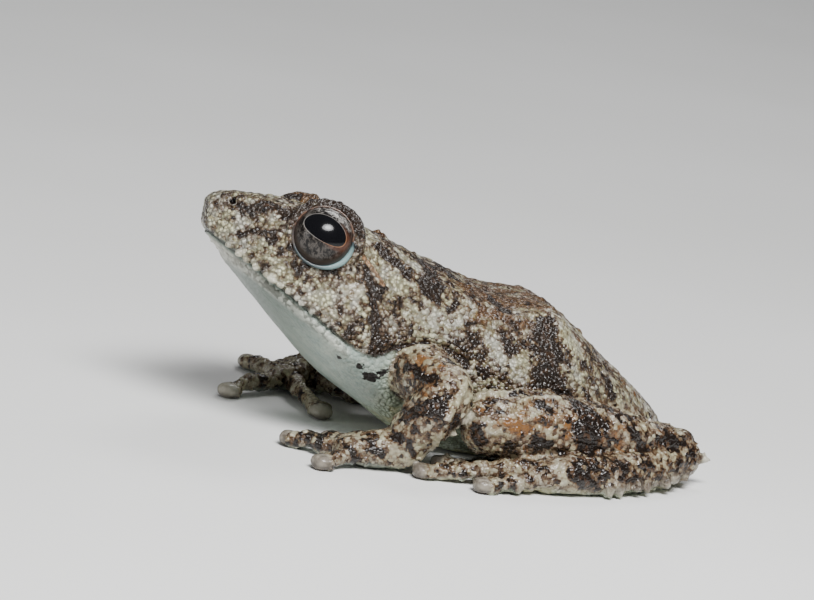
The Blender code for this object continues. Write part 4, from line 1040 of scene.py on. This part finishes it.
class Wire:
    # a socket of a material: arithmetic on it adds Math nodes, and node() adds any other kind
    def __init__(self, tree, socket=None):
        self.tree = tree
        self.socket = socket

    def node(self, kind, settings=None, values=None, out=0):
        made = self.tree.nodes.new(kind)
        for name, value in (settings or {}).items():
            setattr(made, name, value)
        for name, value in (values or {}).items():
            if isinstance(value, Wire):
                self.tree.links.new(value.socket, made.inputs[name])
            else:
                made.inputs[name].default_value = value
        return Wire(self.tree, made.outputs[out])

    def maths(self, operation, *others, swap=False):
        terms = [self, *others]
        if swap:
            terms = terms[::-1]
        return self.node("ShaderNodeMath", {"operation": operation}, dict(enumerate(terms)))

    def __add__(self, other):
        return self.maths("ADD", other)

    __radd__ = __add__

    def __mul__(self, other):
        return self.maths("MULTIPLY", other)

    __rmul__ = __mul__

    def __sub__(self, other):
        return self.maths("SUBTRACT", other)

    def __rsub__(self, other):
        return self.maths("SUBTRACT", other, swap=True)

    def __truediv__(self, other):
        return self.maths("DIVIDE", other)

    def __pow__(self, other):
        return self.maths("POWER", other)

    def vector(self, operation, *others, out=0):
        terms = [self, *others]
        return self.node("ShaderNodeVectorMath", {"operation": operation}, dict(enumerate(terms)), out)

    def off(self, middle):
        # distance from a value, either way
        return (self - middle).maths("ABSOLUTE")

    def soft(self, low, high):
        # 0 below low, 1 above high
        return self.node("ShaderNodeMapRange", {"interpolation_type": "SMOOTHSTEP"},
                         {"Value": self, "From Min": low, "From Max": high})

    def blend(self, first, second):
        # this value mixes from the first colour to the second
        values = {0: self, 6: first, 7: second}
        for key in (6, 7):
            if not isinstance(values[key], Wire):
                values[key] = (*values[key], 1.0)
        return self.node("ShaderNodeMix", {"data_type": "RGBA"}, values, out=2)


def newFinish(name, **constants):
    # a Principled material; constants go straight on its sockets
    made = bpy.data.materials.new(name)
    made.use_nodes = True
    shader = made.node_tree.nodes["Principled BSDF"]
    for socket, value in constants.items():
        shader.inputs[socket.replace("_", " ")].default_value = value
    return made, Wire(made.node_tree), shader


def feed(wire, shader, socket):
    wire.tree.links.new(wire.socket, shader.inputs[socket])


def inMillimetres(start):
    # the place on the piece, in millimetres
    place = start.node("ShaderNodeTexCoord", out="Object")
    return start.node("ShaderNodeVectorMath", {"operation": "SCALE"}, {"Vector": place, "Scale": 1000.0})


def fieldOf(start, name):
    return start.node("ShaderNodeAttribute", {"attribute_name": name}, out="Fac")


def noiseAt(place, scale, detail, roughness, distortion=0.0, offset=0.0):
    # an offset gives the same noise other values
    if offset:
        place = place.vector("ADD", (offset, offset * 0.7, offset * 1.3))
    return place.node("ShaderNodeTexNoise", None, {"Vector": place, "Scale": scale, "Detail": detail,
                                                   "Roughness": roughness, "Distortion": distortion})


skinTones = {
    "creamYellow": (0.54, 0.53, 0.345),
    "creamGrey": (0.575, 0.565, 0.475),
    "olive": (0.31, 0.285, 0.165),
    "tan": (0.27, 0.22, 0.15),
    "limbTan": (0.270, 0.238, 0.160),
    "rustOnBody": (0.112, 0.043, 0.006),
    "rustOnLimbs": (0.170, 0.062, 0.009),
    "markEdge": (0.19, 0.095, 0.042),      # round a dark mark, outermost first
    "markBrown": (0.060, 0.026, 0.011),
    "markBlack": (0.0080, 0.0052, 0.0040),
    "markInside": (0.064, 0.032, 0.016),
    "lid": (0.012, 0.0056, 0.0040),
    # painted glints: pale dots standing in for highlights on the lid's granules
    "lidPaintedGlint": (0.34, 0.32, 0.31),
    "drumPale": (0.36, 0.33, 0.24),
    "drumDark": (0.10, 0.075, 0.045),
    "fold": (0.34, 0.19, 0.095),
    "bead": (0.64, 0.615, 0.53),
    # painted shade round the base of the raised lip beads
    "beadShadeRing": (0.05, 0.035, 0.025),
    # painted shade in the hollows between granules
    "granuleGapShade": (0.03, 0.02, 0.014),
    "throatBlue": (0.27, 0.345, 0.31),
    "throatPale": (0.40, 0.445, 0.385),
    "throatShade": (0.215, 0.265, 0.245),
    "throatFleck": (0.46, 0.49, 0.42),
    "throatNet": (0.20, 0.235, 0.19),
    # painted shade for the front of the throat under the jaw
    "throatFrontShade": (0.135, 0.165, 0.140),
    "throatSpot": (0.014, 0.012, 0.011),
    "belly": (0.46, 0.53, 0.41),
    "bellyNet": (0.24, 0.28, 0.19),
    "bellyYellow": (0.42, 0.38, 0.17),
    "discDark": (0.105, 0.088, 0.070),
    "discPale": (0.27, 0.24, 0.195),
    # the far hand's discs: partly their own pale tone, partly painted light against the shade they sit in
    "discFarPaleAndLit": (0.52, 0.50, 0.40),
    # painted shade on the lowest part of the discs, next to the floor
    "discUnderShade": (0.055, 0.043, 0.034),
    "pitRim": (0.56, 0.54, 0.49),
    # painted shade inside the nostrils and pits
    "pit": (0.004, 0.003, 0.003),
    "lipPale": (0.50, 0.50, 0.43),
    "lipDark": (0.10, 0.085, 0.065),
    # painted shade along the mouth's groove
    "mouthLine": (0.03, 0.026, 0.022),
}
granuleScales = (5.2, 10.5)      # cells to a millimetre, of the granules and of the finer layer
# nostrils and the small pits behind them: station, s, radius and how pale the rim is
pits = [(-9.21, 1.10, 0.17, 0.6), (-7.86, 1.15, 0.08, 0.0)]


def skinFinish():
    made, start, shader = newFinish("frogSkin", Specular_IOR_Level=0.42)
    tones = skinTones
    place = inMillimetres(start)
    station, height = (start.node("ShaderNodeSeparateXYZ", None, {0: place}, out=axis) for axis in "XZ")

    def field(name):
        return fieldOf(start, name)

    def noise(scale, detail=3.0, roughness=0.55, distortion=0.0, offset=0.0):
        return noiseAt(place, scale, detail, roughness, distortion, offset)

    def cells(scale, offset=0.0):
        moved = place.vector("ADD", (offset, offset, offset))
        return start.node("ShaderNodeTexVoronoi", None, {"Vector": moved, "Scale": scale})

    paleMask, darkMark, rustMark, bellyArea = field("pale"), field("dark"), field("rust"), field("belly")
    padArea, lidArea, beadArea, spotArea = field("pads"), field("lid"), field("beads"), field("spots")
    coarse, fine = granuleScales
    grain, grainFine = cells(coarse), cells(fine, offset=4.0)
    # each granule takes one colour, so most of the pattern is read at the granule's own middle
    own = start.node("ShaderNodeTexVoronoi", None, {"Vector": place, "Scale": coarse}, out="Position")
    tone = start.node("ShaderNodeTexWhiteNoise", None, {"Vector": own}, out="Value")

    def patches(scale, detail, roughness, offset):
        return noiseAt(own, scale, detail, roughness, offset=offset)

    region = noise(0.42, 2.0, offset=3.0)
    blotch = noise(1.15, 4.0, 0.62, 0.5, offset=9.0) * 0.5 + patches(1.15, 4.0, 0.62, 9.0) * 0.5
    speck = noise(3.6, 4.0, 0.66, 0.3, offset=20.0) * 0.5 + patches(3.6, 2.0, 0.6, 20.0) * 0.5
    fleck = patches(5.5, 2.0, 0.6, 77.0)
    tiny = noise(11.0, 2.0, 0.6, offset=5.0)

    # how dark a place is: blotches, specks and the marks themselves
    depth = (blotch * 0.32 + speck * 0.31 + fleck * 0.17 + region * 0.13 + tiny * 0.07 + tone * 0.05
             + darkMark * 0.17 + lidArea * 0.07 - beadArea * 0.14 - field("light") * 0.07
             - rustMark.soft(0.6, 1.1) * 0.05)

    # cream and tan, then rust, then the marks from their edge inwards
    base = noise(0.7, 2.0, offset=31.0).soft(0.42, 0.60).blend(tones["creamYellow"], tones["creamGrey"])
    base = noise(2.3, 3.0, offset=14.0).soft(0.49, 0.64).blend(base, tones["olive"])
    base = (tone * 0.22).blend(base, tones["tan"])
    onLimbs = noise(1.7, 3.0, offset=44.0).soft(0.36, 0.60) * 0.50 + 0.38
    base = (field("limb") * onLimbs).blend(base, tones["limbTan"])
    rusty = (rustMark * 0.50 + patches(1.9, 3.0, 0.6, 40.0) * 0.9 + lidArea * 0.10).soft(0.53, 0.74)
    base = (rusty * 0.90).blend(base, field("limb").blend(tones["rustOnBody"], tones["rustOnLimbs"]))
    base = (depth.soft(0.480, 0.520) * 0.38).blend(base, tones["markEdge"])
    base = (depth.soft(0.495, 0.550) * 0.92).blend(base, tones["markBrown"])
    base = depth.soft(0.545, 0.580).blend(base, tones["markBlack"])
    inside = darkMark.soft(0.75, 1.0) * patches(2.6, 2.0, 0.6, 91.0).soft(0.45, 0.54)
    base = (inside * 0.80).blend(base, tones["markInside"])

    # lids with painted glints, ear drum, fold, beads with a painted shade ring, and painted shade in the gaps
    # between granules
    base = (lidArea * 0.86).blend(base, tones["lid"])
    # pale dots on the tops of the lid's fine granules: painted glints, highlights put into the colour
    paintedGlint = (1.0 - grainFine.soft(0.24, 0.42)) * noise(2.8, 2.0, offset=66.0).soft(0.42, 0.54) * lidArea
    base = (paintedGlint * 0.8).blend(base, tones["lidPaintedGlint"])
    drumTone = speck.soft(0.44, 0.56).blend(tones["drumPale"], tones["drumDark"])
    base = (field("drum").soft(0.35, 0.9) * 0.60).blend(base, drumTone)
    base = (field("fold").soft(0.35, 0.75) * 0.85).blend(base, tones["fold"])
    beadPale = beadArea * 0.85 * (1.0 - darkMark.soft(0.45, 0.8)) * (1.0 - speck.soft(0.50, 0.62) * 0.5)
    base = beadPale.blend(base, tones["bead"])
    # a dark ring round each bead's base: painted shade where the raised bead meets the skin
    ring = beadArea.soft(0.0, 0.12) * (1.0 - beadArea.soft(0.18, 0.45))
    base = (ring * 0.5).blend(base, tones["beadShadeRing"])
    hind = (station + blotch * 2.0).soft(-5.0, 0.0)     # the gaps of the flanks are finer than the head's
    # painted shade in the gaps between granules: the colour darkens towards each cell's edge, between the
    # domes
    gapShade = (grain * (1.0 - hind * 0.42) + grainFine * (hind * 0.42)).soft(0.25, 0.55) * (1.0 - field("even"))
    base = (gapShade * (0.62 - hind * 0.12)).blend(base, tones["granuleGapShade"])

    # throat and belly
    throat = noise(0.9, 2.0, offset=50.0).soft(0.35, 0.7).blend(tones["throatBlue"], tones["throatPale"])
    throat = (noise(1.7, 3.0, offset=36.0).soft(0.42, 0.62) * 0.5).blend(throat, tones["throatShade"])
    throat = (noise(4.5, 3.0, offset=17.0).soft(0.40, 0.65) * 0.35).blend(throat, tones["throatFleck"])
    net = grainFine.soft(0.25, 0.60) * (station + speck * 2.0).soft(-7.5, -5.0)
    throat = (net * 0.25).blend(throat, tones["throatNet"])
    # darker towards the front of the throat, under the jaw: painted shade
    throat = (station + noise(0.6) * 2.0).soft(-9.0, -4.6).blend(tones["throatFrontShade"], throat)
    belly = grain.soft(0.25, 0.65).blend(tones["belly"], tones["bellyNet"])
    belly = (noise(0.8, 2.0, offset=27.0).soft(0.50, 0.62) * 0.5).blend(belly, tones["bellyYellow"])
    spotted = (spotArea + noise(5.5, 3.0, 0.65, offset=61.0) * 1.1).soft(1.05, 1.14)
    paleSide = spotted.blend(bellyArea.blend(throat, belly), tones["throatSpot"])
    colour = paleMask.blend(base, paleSide)

    # discs of fingers and toes, darker underneath: painted shade where they come down to the floor
    disc = noise(2.4, 2.0, offset=70.0).soft(0.35, 0.7).blend(tones["discDark"], tones["discPale"])
    # the far hand's discs paler: partly their own pale tone, partly painted light lifting them out of their
    # shade
    disc = (field("light") * 0.85).blend(disc, tones["discFarPaleAndLit"])
    disc = ((1.0 - height.soft(0.12, 0.40)) * 0.65).blend(disc, tones["discUnderShade"])
    colour = padArea.blend(colour, disc)

    # nostrils and pits, each painted dark inside as the shade in the opening, with a pale rim
    for pitX, pitS, size, paleRim in pits:
        for side in (-1, 1):
            seat = tuple(float(v) for v in onSkin([(pitX, pitS)], side)[0])
            far = place.vector("DISTANCE", seat, out="Value") / size
            rim = (1.0 - far.off(1.28).soft(0.02, 0.20)) * tiny.soft(0.42, 0.56)
            colour = (rim * paleRim).blend(colour, tones["pitRim"])
            colour = (1.0 - far.soft(0.85, 1.15)).blend(colour, tones["pit"])

    # the lower lip and the line of the mouth, from its plane; the line is painted shade along the mouth's
    # groove
    level = place.vector("DOT_PRODUCT", tuple(float(v) for v in mouthUp), out="Value") - mouthLevel
    mouthReach = (mouthEnd - station).soft(-0.1, 0.4) * (1.0 - field("limb"))
    chin = 1.0 - station.soft(-12.0, -9.4)
    lowerLip = (1.0 - level.off(-0.36).soft(0.10, 0.26)) * mouthReach
    lipTone = (fleck.soft(0.46, 0.56) * (1.0 - chin * 0.6)).blend(tones["lipPale"], tones["lipDark"])
    colour = (lowerLip * (0.50 + chin * 0.45)).blend(colour, lipTone)
    # the mouth line: painted shade in the groove between the lips
    line = (1.0 - level.off(-0.03).soft(0.015, 0.085)) * mouthReach * (1.0 - beadArea.soft(0.02, 0.22))
    colour = (line * 0.75).blend(colour, tones["mouthLine"])
    feed(colour, shader, "Base Color")

    # each granule is a dome, 1 - d^2 for a distance d from its middle, with a little of the finer layer
    domes = (1.0 - grain * grain) * 0.150 + (1.0 - grainFine * grainFine) * 0.030
    domed = (1.0 - field("even") * 0.62) * (1.0 - padArea * 0.6) * (0.55 + region * 0.7) * (1.0 - hind * 0.15)
    bump = domes * domed + speck * 0.016 + tiny * 0.008 - line * 0.05
    bumped = start.node("ShaderNodeBump", None, {"Strength": 1.0, "Distance": mm, "Height": bump})
    feed(bumped, shader, "Normal")
    feed(0.075 + speck * 0.09 + padArea * 0.10 + paleMask * 0.26, shader, "Roughness")
    return made


eyeTones = {
    "pupil": (0.004, 0.004, 0.005),
    "rimSilver": (0.30, 0.285, 0.265),
    "rimCopper": (0.33, 0.155, 0.075),
    "irisDark": (0.0035, 0.0025, 0.0022),
    "irisGrey": (0.080, 0.070, 0.062),
    "upperDark": (0.003, 0.002, 0.002),
    "upperSilver": (0.34, 0.32, 0.30),
    "irisBrown": (0.070, 0.022, 0.009),
    "irisEdge": (0.03, 0.022, 0.018),
    "back": (0.01, 0.008, 0.007),
}


def eyeFinish():
    made, start, shader = newFinish("wetEye", Specular_IOR_Level=0.15, Coat_Weight=0.55, Coat_Roughness=0.15,
                                    Coat_IOR=1.35)
    tones = eyeTones
    place = inMillimetres(start)
    u, v, front = (fieldOf(start, name) for name in ("irisAlong", "irisAcross", "irisFront"))
    net = noiseAt(place, 2.3, 4.0, 0.72, 0.8)
    veins = noiseAt(place, 5.2, 4.0, 0.80, 0.6)

    # the pupil is where |u / length|^2 + |v / height|^2.2 is under 1
    long, tall = eye["pupil"]
    reach = (u / long).maths("ABSOLUTE") ** 2.0 + (v / tall).maths("ABSOLUTE") ** 2.2
    outside = reach.soft(0.96, 1.03)
    rim = (1.0 - reach.off(1.045).soft(0.0, 0.060)) * outside

    # a grey net below, a silver one above, brown at the rear, and a thin bright rim round the pupil
    iris = (net * 0.52 + veins * 0.48).soft(0.46, 0.58).blend(tones["irisDark"], tones["irisGrey"])
    silver = (veins * 0.7 + net * 0.3).soft(0.49, 0.56).blend(tones["upperDark"], tones["upperSilver"])
    upper = (v + noiseAt(place, 1.6, 3.0, 0.6) * 0.5).soft(0.55, 0.80)
    iris = (upper * 0.85).blend(iris, silver)
    ring = 1.0 - reach.off(1.25).soft(0.02, 0.45)
    brown = ring * (u + veins * 0.8).soft(0.55, 1.00) * 0.65 + (u + net * 0.3).soft(0.70, 0.98) * 0.3
    iris = (brown * outside * 0.9).blend(iris, tones["irisBrown"])
    rimTone = (u - v * 0.6).soft(0.15, 0.65).blend(tones["rimSilver"], tones["rimCopper"])
    iris = (rim * (0.55 + veins * 0.4)).blend(iris, rimTone)
    iris = ((u * u + v * v) ** 0.5).soft(0.84, 0.94).blend(iris, tones["irisEdge"])
    colour = outside.blend(tones["pupil"], iris)
    feed(front.soft(0.05, 0.2).blend(tones["back"], colour), shader, "Base Color")
    feed(0.05 + (0.20 + net * 0.18) * outside, shader, "Roughness")
    return made


marginTones = {
    "brownDark": (0.025, 0.015, 0.011),
    "brownPale": (0.105, 0.052, 0.030),
    "blueDark": (0.022, 0.036, 0.042),
    "bluePale": (0.185, 0.285, 0.285),
}


def marginFinish():
    # brown above, pale blue where the lower lid lies
    made, start, shader = newFinish("lidMargin", Specular_IOR_Level=0.5, Coat_Weight=0.4, Coat_Roughness=0.1)
    fleck = noiseAt(inMillimetres(start), 4.0, 3.0, 0.6)
    lower = fieldOf(start, "lower")
    brown = fleck.soft(0.40, 0.6).blend(marginTones["brownDark"], marginTones["brownPale"])
    blue = lower.soft(0.25, 0.9).blend(marginTones["blueDark"], marginTones["bluePale"])
    feed(lower.soft(0.03, 0.16).blend(brown, blue), shader, "Base Color")
    feed(0.28 + fleck * 0.1, shader, "Roughness")
    return made


for pieces, finish in (([frogSkin], skinFinish()), (eyeballs, eyeFinish()), (margins, marginFinish())):
    for piece in pieces:
        piece.data.materials.append(finish)
print("materials done")


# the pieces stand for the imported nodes
fleshNodes = [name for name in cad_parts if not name.startswith("eye_")]
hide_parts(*fleshNodes)
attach(frogSkin, "root")
for piece, node in zip(eyeballs, ("eye_left", "eye_right")):
    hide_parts(node)
    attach(piece, "root")
for piece in margins:
    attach(piece, "root")


# floor, lights and camera
studio = {
    "azimuth": -18.0,
    "elevation": 12.0,
    "roll": 9.5,
    "target": np.array([0.0, 0.0, 6.45]) + shift,
    "distance": 220.0,
    "pixelsPerMm": 21.0,
    "imageWidth": 814,
    "sensor": 36,                    # width in real millimetres, as Blender has it
    "clip": (0.01, 5.0),             # in metres
    "floorRadius": 1500.0,
    "floorGrid": (24, 64),           # rings and sides
    "floorDrop": 0.01,
    "floorTones": ((0.80, 0.80, 0.785), (0.84, 0.84, 0.83)),
    # area lights: direction in the camera's own axes, distance, width and height, power in watts
    "lights": {
        "keyLight": ((0.30, 0.62, 0.72), 170.0, (116.0, 74.0), 0.42),
        "sparkLight": ((0.30, 0.62, 0.72), 150.0, (56.0, 36.0), 0.14),
        "fillLight": ((-0.85, 0.20, 0.5), 300.0, (150.0, 120.0), 0.16),
        "rimLight": ((0.35, 0.85, -0.5), 260.0, (110.0, 70.0), 0.20),
    },
    "skyTone": (0.92, 0.95, 1.0),
    "skyStrength": 0.10,
}


def cameraAxes():
    # right, up and back of a camera that looks from an azimuth and elevation, then rolls
    a, e, r = (math.radians(studio[k]) for k in ("azimuth", "elevation", "roll"))
    back = np.array([math.sin(a) * math.cos(e), -math.cos(a) * math.cos(e), math.sin(e)])
    right = np.array([math.cos(a), math.sin(a), 0.0])
    up = np.cross(back, right)
    return right * math.cos(r) + up * math.sin(r), up * math.cos(r) - right * math.sin(r), back


right, up, back = cameraAxes()
lens = bpy.data.cameras.new("camera")
camera = bpy.data.objects.new("camera", lens)
bpy.context.scene.collection.objects.link(camera)
bpy.context.scene.camera = camera
turned = Matrix([[right[i], up[i], back[i]] for i in range(3)]).to_4x4()
camera.matrix_world = Matrix.Translation(Vector((studio["target"] + back * studio["distance"]) * mm)) @ turned
lens.sensor_width = studio["sensor"]
lens.lens = studio["pixelsPerMm"] * studio["distance"] / studio["imageWidth"] * studio["sensor"]
lens.clip_start, lens.clip_end = studio["clip"]


def floorFinish():
    made, start, shader = newFinish("paleFloor", Roughness=0.6)
    place = start.node("ShaderNodeTexCoord", out="Object")
    mottle = start.node("ShaderNodeTexNoise", None, {"Vector": place, "Scale": 30.0, "Detail": 2.0})
    feed(mottle.soft(0.3, 0.7).blend(*studio["floorTones"]), shader, "Base Color")
    return made


def floorDisc():
    # a flat disc whose rings grow with the square of their number; only the fan at its middle is kept
    count, sides = studio["floorGrid"]
    radii = np.linspace(0.02, 1, count) ** 2 * studio["floorRadius"]
    turn = np.linspace(0, 2 * np.pi, sides, endpoint=False)
    drop = np.zeros((count, sides)) - studio["floorDrop"]
    grid = np.stack([radii[:, None] * np.cos(turn), radii[:, None] * np.sin(turn), drop], 2)
    middle = (0, 0, -studio["floorDrop"])
    points, quads, fans = closedGrid(grid, middle, middle)
    return showMesh("floor", meshFrom("floor", [(points, quads, fans[:sides])]))


floor = floorDisc()
floor.data.materials.append(floorFinish())


def softbox(name, direction, distance, size, power):
    # an area light that faces the frog from a direction in the camera's own axes
    data = bpy.data.lights.new(name, "AREA")
    data.shape = "ELLIPSE"
    data.size, data.size_y = size[0] * mm, size[1] * mm
    data.energy = power
    light = bpy.data.objects.new(name, data)
    bpy.context.scene.collection.objects.link(light)
    way = unit(direction[0] * right + direction[1] * up + direction[2] * back)
    light.matrix_world = (Matrix.Translation(Vector((studio["target"] + way * distance) * mm))
                          @ Vector(way).to_track_quat("Z", "Y").to_matrix().to_4x4())


for name, settings in studio["lights"].items():
    softbox(name, *settings)

world = bpy.data.worlds.new("studioWorld")
bpy.context.scene.world = world
world.use_nodes = True
background = world.node_tree.nodes["Background"]
background.inputs["Color"].default_value = (*studio["skyTone"], 1)
background.inputs["Strength"].default_value = studio["skyStrength"]
print("studio done")
